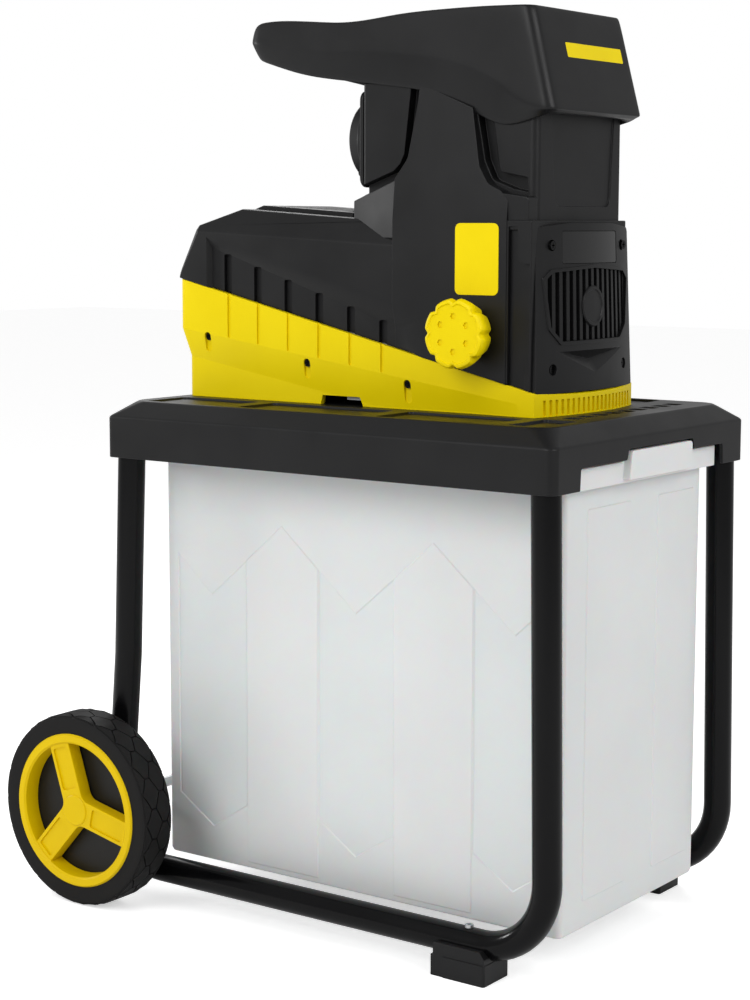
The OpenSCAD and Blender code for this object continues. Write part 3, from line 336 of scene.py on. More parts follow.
def shave(bm, a, b, c):
    """Cut off what lies beyond the plane through three points, away from the housing's middle."""
    a, b, c = Vector(a), Vector(b), Vector(c)
    normal = (b - a).cross(c - a)
    if normal.dot(a - HOUSE_MIDDLE) < 0:
        normal.negate()
    return slice_at(bm, a, normal, clear=True)


def round_edges(bm, width, segments=3, sharper=28, chosen=None, clamp=True):
    """Round the edges whose faces meet at more than an angle, all of them or those chosen."""
    bmesh.ops.remove_doubles(bm, verts=bm.verts, dist=WELD)
    bmesh.ops.dissolve_limit(bm, angle_limit=FLAT, verts=bm.verts, edges=bm.edges)
    limit = math.radians(sharper)
    edges = [e for e in bm.edges if len(e.link_faces) == 2 and e.calc_face_angle(0) > limit]
    if chosen:
        edges = [e for e in edges if chosen(e)]
    bmesh.ops.bevel(
        bm,
        geom=edges,
        offset=width,
        offset_type="OFFSET",
        segments=segments,
        profile=0.5,
        affect="EDGES",
        clamp_overlap=clamp,
        material=-1,
    )
    return bm


def mirrored(bm):
    """A copy of a bmesh on the other side of the middle plane."""
    copy = bm.copy()
    bmesh.ops.scale(copy, vec=(1, -1, 1), verts=copy.verts)
    bmesh.ops.recalc_face_normals(copy, faces=copy.faces)
    return copy


def piece(node, bm, smooth=35, subdivide=0, extra="", slot=""):
    """Turn a finished bmesh into the piece that stands for a CAD node, or into an extra piece on it."""
    name = f"{node}_{extra or 'form'}"
    bmesh.ops.dissolve_degenerate(bm, dist=0.005, edges=bm.edges)
    bmesh.ops.transform(bm, matrix=TO_FRAME, verts=bm.verts)
    bmesh.ops.recalc_face_normals(bm, faces=bm.faces)
    mesh = bpy.data.meshes.new(name)
    bm.to_mesh(mesh)
    bm.free()
    mesh.polygons.foreach_set("use_smooth", [True] * len(mesh.polygons))
    mesh.set_sharp_from_angle(angle=math.radians(smooth))
    slot = slot or SLOTS[node]
    mesh.materials.append(NODE_MATERIALS.get(node, SLOT_MATERIALS[slot])())
    obj = bpy.data.objects.new(name, mesh)
    bpy.context.scene.collection.objects.link(obj)
    if subdivide:
        rounder = obj.modifiers.new("Smooth", "SUBSURF")
        rounder.levels = rounder.render_levels = subdivide
    else:
        obj.modifiers.new("Weighted normals", "WEIGHTED_NORMAL").keep_sharp = True
    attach(obj, BODIES[node])
    if not extra:
        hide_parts(node)
    return obj


# Materials


def linear(code):
    """A colour code of the screen as linear light."""
    parts = [int(code[i : i + 2], 16) / 255 for i in (1, 3, 5)]
    return [c / 12.92 if c <= 0.04045 else ((c + 0.055) / 1.055) ** 2.4 for c in parts] + [1.0]


def add(tree, kind, inputs=(), **settings):
    """Add a node with its settings, values and links."""
    node = tree.nodes.new(kind)
    for name, value in settings.items():
        setattr(node, name, value)
    for socket, value in dict(inputs).items():
        if isinstance(value, bpy.types.NodeSocket):
            tree.links.new(value, node.inputs[socket])
        else:
            node.inputs[socket].default_value = value
    return node


def surface(name, tones, rough, grain, depth, drift=60, stretch=(1, 1, 1), **sockets):
    """A material with a grain in relief and a slow drift of tone and gloss, its pattern sizes in millimetres.

    Its darker and lighter tone are colour codes, or colours from the settings.
    """
    material = bpy.data.materials.get(name)
    if material:
        return material
    material = bpy.data.materials.new(name)
    material.use_nodes = True
    tree = material.node_tree
    shader = tree.nodes["Principled BSDF"]
    dark, light = (linear(tone) if isinstance(tone, str) else tone for tone in tones)
    place = add(tree, "ShaderNodeTexCoord").outputs["Object"]
    slow = add(tree, "ShaderNodeTexNoise", {"Vector": place, "Scale": MILLI / drift, "Detail": 4.0})
    lay = add(tree, "ShaderNodeMapping", {"Vector": place, "Scale": stretch})
    fine = add(tree, "ShaderNodeTexNoise", {"Vector": lay.outputs[0], "Scale": MILLI / grain, "Detail": 2.0})
    tone = add(
        tree,
        "ShaderNodeMix",
        {0: slow.outputs["Fac"], 6: dark, 7: light},
        data_type="RGBA",
    )
    gloss = add(
        tree,
        "ShaderNodeMapRange",
        {
            "Value": slow.outputs["Fac"],
            "From Min": 0.3,
            "From Max": 0.7,
            "To Min": rough[0],
            "To Max": rough[1],
        },
    )
    relief = add(
        tree,
        "ShaderNodeBump",
        {"Height": fine.outputs["Fac"], "Strength": 1.0, "Distance": depth / MILLI},
    )
    tree.links.new(tone.outputs[2], shader.inputs["Base Color"])
    tree.links.new(gloss.outputs[0], shader.inputs["Roughness"])
    tree.links.new(relief.outputs[0], shader.inputs["Normal"])
    for socket, value in sockets.items():
        shader.inputs[socket.replace("_", " ")].default_value = value
    return material


def black_abs():
    # ABS, injection moulded in a spark-eroded tool: near black, satin, with a fine even grain
    finish = bpy.context.scene.shredder_finish
    tones = (finish.black, finish.black_light)
    return surface("black_abs", tones, (0.36, 0.46), 0.9, 0.04, Specular_IOR_Level=0.27)


def yellow_abs():
    # ABS coloured right through, moulded in a lightly textured tool: strong yellow with a soft sheen
    finish = bpy.context.scene.shredder_finish
    tones = (finish.yellow, finish.yellow_light)
    return surface("yellow_abs", tones, (0.34, 0.42), 1.1, 0.03, Specular_IOR_Level=0.12)


def yellow_painted_shade():
    # Yellow plastic, injection moulded, the same as the housing's; its darker, deeper tone is painted shade
    # on the wheel covers
    return surface("yellow_painted_shade", ("#d5b400", "#dfbe00"), (0.34, 0.42), 1.1, 0.03, Specular_IOR_Level=0.12)


def tube_coat():
    # Steel tube, bent and powder coated in gloss black, with a slight orange peel
    return surface("tube_coat", ("#050506", "#080809"), (0.16, 0.24), 3.0, 0.05, Specular_IOR_Level=0.16)


def tyre_rubber():
    # Filled rubber, compression moulded: dull dark grey, a little dusty
    return surface("tyre_rubber", ("#161616", "#1d1c1c"), (0.55, 0.7), 0.8, 0.06, Specular_IOR_Level=0.12)


def milky_pp():
    # Unpigmented polypropylene, injection moulded: milky, waxy and a little see-through
    finish = bpy.context.scene.shredder_finish
    return surface(
        "milky_pp",
        (finish.bin, finish.bin_light),
        (0.38, 0.48),
        1.4,
        0.04,
        drift=140,
        Subsurface_Weight=0.4,
        Subsurface_Scale=0.006,
    )


def gloss_acrylic():
    # Acrylic sheet, back printed black: deep gloss
    return surface("gloss_acrylic", ("#060607", "#09090a"), (0.08, 0.12), 30, 0.01, Specular_IOR_Level=0.5)


def dark_pa():
    # Glass-filled polyamide, moulded: dark grey and dull
    return surface("dark_pa", ("#161617", "#1d1d1e"), (0.5, 0.62), 0.7, 0.05, Specular_IOR_Level=0.35)


def black_oxide():
    # Carbon steel screws, cold headed and blackened in hot oxide: dark metal with an oily sheen
    return surface("black_oxide", ("#1a1a1b", "#262627"), (0.3, 0.42), 0.6, 0.02, Metallic=1.0)


def zinc_steel():
    # Carbon steel, cold formed and bright zinc plated
    return surface("zinc_steel", ("#b4b7ba", "#cfd1d2"), (0.26, 0.38), 0.6, 0.02, Metallic=1.0)


def gear_steel():
    # Case-hardened steel, hobbed and ground, lightly oiled
    return surface(
        "gear_steel", ("#8d8f92", "#a9abad"), (0.2, 0.32), 0.5, 0.02, stretch=(0.1, 1, 1), Metallic=1.0
    )


def cast_aluminium():
    # Aluminium, pressure die cast and shot blasted
    return surface("cast_aluminium", ("#9c9fa1", "#b5b7b8"), (0.45, 0.6), 0.8, 0.08, Metallic=1.0)


def cast_iron():
    # Grey iron, sand cast and turned: dark with an open grain
    return surface("cast_iron", ("#55565a", "#6b6c6f"), (0.45, 0.62), 1.2, 0.12, Metallic=1.0)


def core_plate():
    # Electrical steel sheet, punched, stacked and varnished: fine layers across the stack
    return surface(
        "core_plate", ("#4b4a48", "#686663"), (0.35, 0.5), 0.5, 0.1, stretch=(1, 0.02, 0.02), Metallic=1.0
    )


def drawn_can():
    # Aluminium, deep drawn: pale metal with faint draw marks
    return surface(
        "drawn_can", ("#b9bbbd", "#cdcfd0"), (0.3, 0.42), 0.9, 0.03, stretch=(1, 1, 0.06), Metallic=1.0
    )


def studio_paper():
    # Background paper, matt and white
    return surface("studio_paper", ("#f4f4f4", "#f9f9f9"), (0.85, 0.95), 2.0, 0.02)


SLOT_MATERIALS = {
    "black_plastic": black_abs,
    "dark_plastic": dark_pa,
    "gloss_black": gloss_acrylic,
    "yellow_plastic": yellow_abs,
    "bin_plastic": milky_pp,
    "tube_paint": tube_coat,
    "rubber": tyre_rubber,
    "bright_steel": zinc_steel,
    "gear_steel": gear_steel,
    "die_cast": cast_aluminium,
    "iron": cast_iron,
    "stator_iron": core_plate,
    "can": drawn_can,
}
NODE_MATERIALS = {
    "housing_screws": black_oxide,
    "cover_screws": black_oxide,
    # The wheel covers get the housing's yellow darkened as painted shade
    "wheel_cover_near": yellow_painted_shade,
    "wheel_cover_far": yellow_painted_shade,
}


# Settings


def metres(name, description, default):
    """A size in metres."""
    return FloatProperty(name=name, description=description, default=default, unit="LENGTH")


def number(name, description, default):
    """A number of like features."""
    return IntProperty(name=name, description=description, default=default, subtype="UNSIGNED")


def degrees(name, description, default):
    """A turn in degrees."""
    turn = math.radians(default)
    return FloatProperty(name=name, description=description, default=turn, subtype="ANGLE")


def factor(name, description, default):
    """A strength from none to full."""
    return FloatProperty(name=name, description=description, default=default, subtype="FACTOR")


def tint(name, description, default):
    """A colour, given as a colour code."""
    tone = linear(default)
    return FloatVectorProperty(name=name, description=description, default=tone, size=4, subtype="COLOR")


class HopperSettings(PropertyGroup):
    half_width: metres("Half width", "From the middle plane to the widest line of the hopper's sides", 0.093)
    tuck: metres("Tuck", "How far the sides draw in from the crease to the lower edge", 0.006)
    strip_proud: metres("Strip relief", "How far the strip stands out of the front wall", 0.0008)
    channel_width: metres(
        "Channel width", "Width of the channels behind the tongues of the side covers", 0.0105
    )
    channel_depth: metres("Channel depth", "Depth of the channels in the tower's sides", 0.011)


class HousingSettings(PropertyGroup):
    groove_count: number("Grooves", "Upright grooves in each side of the motor housing", 6)
    groove_pitch: metres("Groove pitch", "Distance from one groove to the next", 0.0422)
    groove_width: metres("Groove width", "Width of each groove", 0.0105)
    field_depth: metres("Field depth", "How far the grooved field is sunk in the sides", 0.006)
    groove_depth: metres("Groove depth", "How deep the grooves are cut below the field", 0.0042)
    belt_tuck: metres("Belt tuck", "How far the lower housing's belt draws in towards the deck", 0.0055)
    vent_count: number("Front vents", "Slots in the front foot of the lower housing", 20)
    edge: metres("Edge radius", "Rounding of the moulded edges", 0.0014)


class CoverSettings(PropertyGroup):
    bar_pitch: metres("Bar pitch", "Distance from one upright bar of the grille to the next", 0.0112)
    bar_width: metres("Bar width", "Width of each bar", 0.005)
    grille_depth: metres("Grille depth", "Depth of the grille behind the cover's face", 0.009)
    notch_count: number("Knob notches", "Finger notches round the adjusting knob", 8)


class StandSettings(PropertyGroup):
    tread_blocks: number("Tread blocks", "Blocks in each row round a tyre", 20)
    tread_depth: metres("Tread depth", "Height of the tread blocks", 0.0022)
    tread_gap: metres("Tread gap", "Width of the cuts between the tread blocks", 0.0016)
    spoke_count: number("Spokes", "Spokes of each wheel cover", 3)
    spoke_turn: degrees("Spoke turn", "Turn of the spokes from upright", 18)


class BinSettings(PropertyGroup):
    panel_pitch: metres("Panel pitch", "Width of the raised and sunk panels along the bin's sides", 0.0985)
    panel_relief: metres(
        "Panel relief", "How far the panels stand out of the bin's sides or lie in them", 0.0009
    )


class FinishSettings(PropertyGroup):
    black: tint("Black plastic", "Darker tone of the black mouldings", "#0d0d0e")
    black_light: tint("Black plastic, lighter", "Lighter tone of the black mouldings", "#131314")
    yellow: tint("Yellow plastic", "Darker tone of the yellow housing, knob and plates", "#e4ca00")
    yellow_light: tint(
        "Yellow plastic, lighter", "Lighter tone of the yellow housing, knob and plates", "#eed600"
    )
    bin: tint("Bin", "Darker tone of the milky bin", "#d3d5d5")
    bin_light: tint("Bin, lighter", "Lighter tone of the milky bin", "#dfe0e0")


class StageSettings(PropertyGroup):
    camera_at: FloatVectorProperty(
        name="Camera",
        description="Place of the camera",
        default=(1.3463, -1.8686, 0.7472),
        subtype="TRANSLATION",
    )
    yaw: degrees("Yaw", "Turn of the view to the left of straight ahead", 36.047)
    pitch: degrees("Pitch", "Tilt of the view below level", 7.511)
    roll: degrees("Roll", "Turn of the picture about its middle", 0.121)
    lens: FloatProperty(
        name="Lens",
        description="Focal length",
        default=75.18,
        unit="CAMERA",
    )
    ambient: factor("Ambient light", "Strength of the even light from all round", 0.5)
    paper_glow: factor("Paper glow", "Extra brightness of the floor in the picture", 0.5)


# Lines that several pieces share, in deck millimetres

# Top edge of the lower housing, on which the black mouldings stand
SEAM = line(-260, 686, 214, 577)
# Half the width of the motor housing, and half the width over the side covers on it
HOUSE_HALF = 100
COVER_HALF = 100.8
# Back and front edge of the side covers; above a height they lean in, by a share of the rise
COVER_LEFT, COVER_RIGHT = 27, 167
LEAN_FROM, LEAN = 752, 0.103
# Radius of the bowed front, seen from above
FRONT_BOW = 375
# Back, front, near and far wall of the feed throat
THROAT = (62, 183, -45, 70)


def both_sides(depth, past):
    """Depths along y for a cut in the near and in the far side."""
    return [(-past, -depth), (depth, past)]


def bow(y):
    """Place of the bowed front along x beside the middle plane, from its foremost line."""
    return math.sqrt(FRONT_BOW**2 - y * y) - FRONT_BOW


def field_cutter(sizes, proud=0.0):
    """Cutter of the sunk field with its sloped upper edge, for both sides of the housing."""
    under = 4
    outer = [(-226, 735), (-189, 730.5), (60, 659), (74, 655)]
    outer += [(x, SEAM(x) - under) for x in (66, -226)]
    inner = [(-222, 722), (-203, 716), (24, 643), (38, 640)]
    inner += [(x, SEAM(x) - under) for x in (46, -222)]
    deep = HOUSE_HALF - sizes.field_depth * MILLI + proud
    steps = [(inner, deep), (outer, COVER_HALF), (outer, COVER_HALF + PAST)]
    bm = bmesh.new()
    for side in (-1, 1):
        loft(bm, [[SIDE @ Vector((u, v, side * y)) for u, v in outline] for outline, y in steps])
    return bm


# Pieces


class SHREDDER_OT_hopper(Operator):
    """Model the feed hopper: loading lip, rolled rim, funnel, and the strip and bare panel on its front"""

    bl_idname = "shredder.hopper"
    bl_label = "Feed hopper"

    def execute(self, context):
        sizes = context.scene.shredder_hopper
        half = sizes.half_width * MILLI
        tuck = sizes.tuck * MILLI
        # Heights along the hopper of its rim, its lower edge and the crease between them
        top = through(
            [(-175, 952), (-167, 958.5), (-151, 962), (-133, 963), (-95, 960.5), (-45, 956.5), (-10, 958)]
            + [(35, 962), (120, 963.5), (186, 962)]
        )
        bottom = through(
            [(-175, 931), (-168, 925), (-152, 919.5), (-95, 903.5), (-10, 892), (60, 882), (100, 868)]
            + [(121, 858), (150, 844.5), (180, 849), (214, 858)]
        )
        crease = through(
            [(-175, 942), (-110, 933), (-65, 927), (-10, 925), (42, 919), (73, 915), (104, 907), (124, 900)]
            + [(144, 891), (163, 879), (175, 869), (188, 862), (213, 861)]
        )
        low, high = span("tower")
        hug = 1.6

        def level(z):
            return lambda x: z

        def above(curve, rise):
            return lambda x: curve(x) + rise

        def between(share):
            return lambda x: crease(x) + (top(x) - crease(x)) * share

        def seat(x):
            """The foot that hugs the tower, just under the tower's top."""
            return min(bottom(x) + 6, high.z - 4)

        def ring(back, front, inward, r_back, r_front, height):
            return tray(back, front, inward - half, half - inward, r_back, r_front, height)

        # From the foot up the outside, over the rim and down the funnel into the throat
        rings = [
            tray(low.x - hug, high.x + hug, low.y - hug, high.y + hug, 4, 8, seat),
            ring(-156, 203, tuck + 3, 16, 12, above(bottom, 1)),
            ring(-166, 209, tuck + 1.2, 18, 12, bottom),
            ring(-169, 211, tuck, 18, 12, above(bottom, 1.5)),
            ring(-175, 213.5, 0, 20, 12, above(crease, -1.2)),
            ring(-175, 213, 0.1, 20, 12, above(crease, 1.2)),
            ring(-174.5, 200, 1.2, 20, 12, between(0.5)),
            ring(-173, 188, 2, 20, 12, above(top, -3)),
            ring(-170, 186, 3.4, 19, 12, top),
            ring(-164, 182, 6, 18, 11, top),
            ring(-161, 180, 7.5, 17, 10, above(top, -3)),
            ring(-140, 178, 12, 15, 9, level(944)),
            tray(*THROAT, 10, 10, level(888)),
            tray(*THROAT, 10, 10, level(866)),
        ]
        piece("hopper", loft(bmesh.new(), rings, closed=True), subdivide=2)

        # Place of the sloping front wall along x, at a height
        wall = line(859, 213, 957, 187)
        proud = sizes.strip_proud * MILLI
        skin, root = 0.4, 3

        def plate(outline, rise):
            depths = (-root, skin + rise)
            rings = [[Vector((wall(v) + depth, u, v)) for u, v in outline] for depth in depths]
            return round_edges(loft(bmesh.new(), rings), 0.3, 2)

        low, high = span("hopper_strip")
        piece("hopper_strip", plate(oblong(low.y, high.y - 6, low.z, high.z, 1.5), proud))
        bare = plate(oblong(low.y + 5, high.y - 5, 893, 912.5, 1.5), proud / 2)
        piece("hopper_strip", bare, extra="panel", slot="gloss_black")
        return {"FINISHED"}


class SHREDDER_OT_tower(Operator):
    """Model the tower between housing and hopper, with the channels beside the tongues and its front panel"""

    bl_idname = "shredder.tower"
    bl_label = "Tower"

    def execute(self, context):
        sizes = context.scene.shredder_hopper
        low, high = span("tower")
        half = high.y + 1
        outline = [(low.x, -half, 4), (high.x, -half, 8), (high.x, half, 4), (low.x, half, 4)]
        bm = solid(rounded(outline, 5), PLAN, low.z - 8, high.z - 3)
        back, front, near, far = THROAT
        bm = carve(bm, block(bmesh.new(), (back, near, low.z - 2 * PAST), (front, far, high.z + PAST)))

        front_channel = [(114, 897, 0), (130, 812, 10), (140, 792, 10), (165, 783, 8), (181, 780, 0)]
        front_channel = rounded(front_channel + [(181, 794, 3), (148, 800, 4), (133, 897, 0)])
        back_channel = [(46, 905), (35.5, 818), (29, 806), (19, 797.5), (-30, 780)]
        back_channel = band(back_channel, sizes.channel_width * MILLI)
        channels = bmesh.new()
        for reach in both_sides(half - sizes.channel_depth * MILLI, half + PAST):
            prism(channels, front_channel, SIDE, *reach)
            prism(channels, back_channel, SIDE, *reach)
        bm = carve(bm, channels)

        panel_depth = 1.8
        panel = rounded([(-58, 872, 0), (-48, 766, 10), (62, 766, 10), (70, 872, 0)])
        bm = carve(bm, solid(panel, FRONT, high.x - panel_depth, high.x + PAST))
        piece("tower", round_edges(bm, 0.9))
        return {"FINISHED"}


class SHREDDER_OT_side_covers(Operator):
    """Model the covers on both sides with tongue and buttress, and the plate on the near one"""

    bl_idname = "shredder.side_covers"
    bl_label = "Side covers"

    def execute(self, context):
        lift, inside = 0.6, -78
        outline = [
            (COVER_LEFT, SEAM(COVER_LEFT) + lift, 0),
            (COVER_RIGHT, SEAM(COVER_RIGHT) + lift, 0),
            (COVER_RIGHT, 771, 4),
            (158, 781, 8),
            (142, 788, 12),
            (130, 806, 16),
            (118, 864, 0),
            (53, 890, 0),
            (42, 815, 20),
            (COVER_LEFT, 794, 0),
        ]
        bm = solid(rounded(outline), SIDE, -COVER_HALF, inside)
        bm = carve(bm, field_cutter(context.scene.shredder_housing, COVER_HALF - HOUSE_HALF))
        slice_at(bm, (0, 0, LEAN_FROM), (0, 0, 1))
        for vert in bm.verts:
            if vert.co.y < 1 - COVER_HALF and vert.co.z > LEAN_FROM:
                vert.co.y += (vert.co.z - LEAN_FROM) * LEAN

        def rim(edge):
            """Whether an edge is on the cover's own outline, not on the field that runs into it."""
            in_field = all(COVER_LEFT + 1 < v.co.x < 80 and v.co.z < 665 for v in edge.verts)
            return not in_field and all(v.co.y < inside - 3 for v in edge.verts)

        round_edges(bm, 1.6, 3, 35, rim)

        # The buttress behind the tongue, whose ridge falls towards the motor
        start, end, root, foot = COVER_LEFT + 1, -35, -80, 733
        ridge = line(end, 772, start, 793)
        base = [(start, -99.6), (start, root), (end, root), (end, -84)]
        peak = [(start, -96.6), (start, root), (end, root), (end, -83.4)]
        rings = [[Vector((x, y, foot)) for x, y in base], [Vector((x, y, ridge(x))) for x, y in peak]]
        put_in(bm, round_edges(loft(bmesh.new(), rings), 1.2, 3))
        far = mirrored(bm)
        piece("side_cover_near", bm)
        piece("side_cover_far", far)

        low, high = span("label_plate")
        label = solid(oblong(low.x, high.x, low.z, high.z, 6), SIDE, low.y, 2 - COVER_HALF)
        piece("label_plate", round_edges(label, 0.3, 2))
        return {"FINISHED"}


def housing_shape(front, edge):
    """The motor housing's outside: a nose with slanted shoulders, and the upright part before it."""
    half, lift, head = HOUSE_HALF, 0.5, 752
    back, nose_end, lap = -266, 100, 5
    nose = [(back, SEAM(back) + lift), (nose_end, SEAM(nose_end) + lift), (nose_end, head)]
    bm = solid(nose + [(-20, 753), (-187, 764), (-252, 742)], SIDE, -half, half)
    for side in (-1, 1):
        shave(bm, (-247, side * half, 740), (27, side * half, 726), (-187, side * 84, 764))
        shave(bm, (back, side * half, 690), (-240, side * half, 737), (-254, side * 86, 737))
    start = nose_end - lap
    upright = [(start, SEAM(start) + lift), (front, SEAM(front) + lift), (front, head), (start, head)]
    bm = combine(bm, solid(upright, SIDE, -half, half), "UNION")
    # The far front corner is cut off, and the far wall leans in a little
    slice_at(bm, (front, half - 12, 0), (12, 22, 0), clear=True)
    slice_at(bm, (0, half + 0.5, 580), (0, 1, 0.028), clear=True)
    return round_edges(bm, edge, 3, 12, clamp=False)


def housing_hollow(front):
    """The space in the motor housing, open below, which follows the slants of its outside."""
    half, wall = 89, 4
    outline = [(-258, SEAM(-258) - PAST), (front - wall, SEAM(front) - PAST), (front - wall, 747)]
    bm = solid(outline + [(-20, 748), (-184, 757), (-240, 736)], SIDE, -half, half)
    for side in (-1, 1):
        shave(bm, (-235, side * half, 737), (27, side * half, 723), (-187, side * 73, 761))
    return bm


def groove_cutter(sizes):
    """Cutter of the upright grooves in the sunk fields of both sides."""
    pitch, wide = sizes.groove_pitch * MILLI, sizes.groove_width * MILLI
    first = -199.5
    tops = line(first, 714.5, 11.5, 648.3)
    floor = HOUSE_HALF - (sizes.field_depth + sizes.groove_depth) * MILLI
    bm = bmesh.new()
    for reach in both_sides(floor, HOUSE_HALF + PAST):
        for i in range(sizes.groove_count):
            x = first + i * pitch
            prism(bm, oblong(x - wide / 2, x + wide / 2, SEAM(x) - PAST, tops(x), 2), SIDE, *reach)
    return bm


def motor_lid():
    """The lid on the motor housing, with a row of vents and a sunk grip."""
    low, high = span("nose_lid")
    back, end = low.x - 2, high.x - 2
    outline = [(back, 752, 0), (end, 746, 0), (end, 760, 2), (back + 15, 768, 4), (back, 763, 3)]
    bm = solid(rounded(outline), SIDE, low.y, high.y)
    over, first, pitch, wide = 780, back + 26, 11, 5
    vents = bmesh.new()
    for i in range(7):
        x = first + i * pitch
        prism(vents, oblong(x, x + wide, -44, 44, 2.4), PLAN, 761, over)
    bm = carve(bm, vents)
    grip = solid(oblong(end - 34, end - 6, -40, 40, 6), PLAN, 758, over)
    return round_edges(carve(bm, grip), 1.0)


class SHREDDER_OT_motor_housing(Operator):
    """Model the hollow black motor housing with its grooved sides, and the lid on it"""

    bl_idname = "shredder.motor_housing"
    bl_label = "Motor housing"

    def execute(self, context):
        sizes = context.scene.shredder_housing
        half = HOUSE_HALF
        front = span("upper_housing")[1].x
        bm = carve(housing_shape(front, sizes.edge * MILLI), housing_hollow(front))
        back, ahead, near, far = THROAT
        play = 2
        bm = carve(bm, block(bmesh.new(), (back - play, near - play, 740), (ahead + play, far + play, 790)))
        bm = carve(bm, field_cutter(sizes))
        bm = carve(bm, groove_cutter(sizes))

        # The recess before the near side cover, and the shoulder above it
        left, right, foot, head = COVER_RIGHT + 2, front - 2, SEAM(180) - 20, 746
        recess = [(left, foot, 0), (right, foot, 0), (right, 709, 0), (186, 709, 3), (180, 714, 3)]
        recess = rounded(recess + [(180, head, 2), (left, head, 2)])
        bm = carve(bm, solid(recess, SIDE, -half - PAST, 4.5 - half))
        left, right, foot = COVER_RIGHT - 8, 191, 742
        shoulder = rounded([(left, foot, 0), (right, foot, 0), (right, 775, 4), (left, 779, 0)])
        put_in(bm, round_edges(solid(shoulder, SIDE, 1.6 - half, -81), 1.6, 3))
        piece("upper_housing", bm)
        piece("nose_lid", motor_lid())
        return {"FINISHED"}


class SHREDDER_OT_base(Operator):
    """Model the yellow lower housing with its tucked belt, screw seats, score lines and front vents"""

    bl_idname = "shredder.base"
    bl_label = "Lower housing"

    def execute(self, context):
        sizes = context.scene.shredder_housing
        low, high = span("lower_housing")
        floor, half = low.z, high.y
        back, nose = low.x - 6, high.x - 0.5
        tuck = sizes.belt_tuck * MILLI
        wall, rear_radius = 6.5, 7
        # The belt's upper line; the tuck under it fades out towards the front
        upper = line(-248, 630, 203, 566)
        fade_end, fade = 190, 70

        def lower(x):
            return max(600 - 0.169 * (x + 248), floor + 1.5)

        def ground(x):
            return floor

        def ring(drawn, inward, height):
            """A ring round the housing: its sides drawn in under the belt, all of it moved inward."""
            y_end = half - inward

            def flank(x):
                return y_end - drawn * min(max((fade_end - x) / fade, 0), 1)

            across = [y_end * (i / 8 - 1) for i in range(17)]
            along = [180 - 20 * i for i in range(21)]
            rear, beside = back + inward + 1.5 * drawn, flank(back)
            corners = [(rear, beside, rear_radius), (rear, -beside, rear_radius)]
            corners += [(nose, -beside, 0), (nose, beside, 0)]
            points = [Vector((nose - inward + bow(y), y)) for y in across]
            points += [Vector((x, flank(x))) for x in along]
            points += [point for arc in arcs(corners, 6)[:2] for point in arc]
            points += [Vector((x, -flank(x))) for x in reversed(along)]
            return [Vector((p.x, p.y, height(p.x))) for p in points]

        # Up the outside and down the inside of the wall
        rise = [(tuck, ground), (tuck, lower), (0, upper), (0, SEAM)]
        rings = [ring(drawn, 0, height) for drawn, height in rise]
        rings += [ring(drawn, wall, height) for drawn, height in reversed(rise)]
        bm = round_edges(loft(bmesh.new(), rings, closed=True), 0.5, 2, 5, clamp=False)

        count, pitch, wide, deep = sizes.vent_count, 8.9, 4.6, 2.4
        vents = bmesh.new()
        for i in range(count):
            y = (i - (count - 1) / 2) * pitch
            face = nose + bow(y)
            outline = oblong(y - wide / 2, y + wide / 2, floor + 1, 573, 1)
            prism(vents, outline, FRONT, face - deep, face + PAST)
        bm = carve(bm, vents)

        # Upright score lines under the grooves of the motor housing
        first, pitch, wide = -194.5, 41.6, 4.4
        scores = bmesh.new()
        for reach in both_sides(half - 2, half + PAST):
            for i in range(sizes.groove_count):
                x = first + pitch * i
                outline = oblong(x - wide / 2, x + wide / 2, upper(x) + 1, SEAM(x) + PAST, 1.5, 4)
                prism(scores, outline, SIDE, *reach)
        bm = carve(bm, scores)

        # A seat runs down from each screw
        radius = 4.5
        seats = bmesh.new()
        for x, z, seat_low in ((-226, 624, 607), (-87, 600, 583), (45, 583, 563)):
            for reach in both_sides(half - 5.2, half + PAST):
                prism(seats, oblong(x - radius, x + radius, seat_low, z + radius, 4.4), SIDE, *reach)
        bm = carve(bm, seats)

        under, head = floor - 2, 566
        hand = [(-72, under), (-69, head), (-19, head), (-14, under)]
        bm = carve(bm, solid(hand, SIDE, -half - PAST, -half + tuck + wall + 2))
        piece("lower_housing", bm)
        return {"FINISHED"}


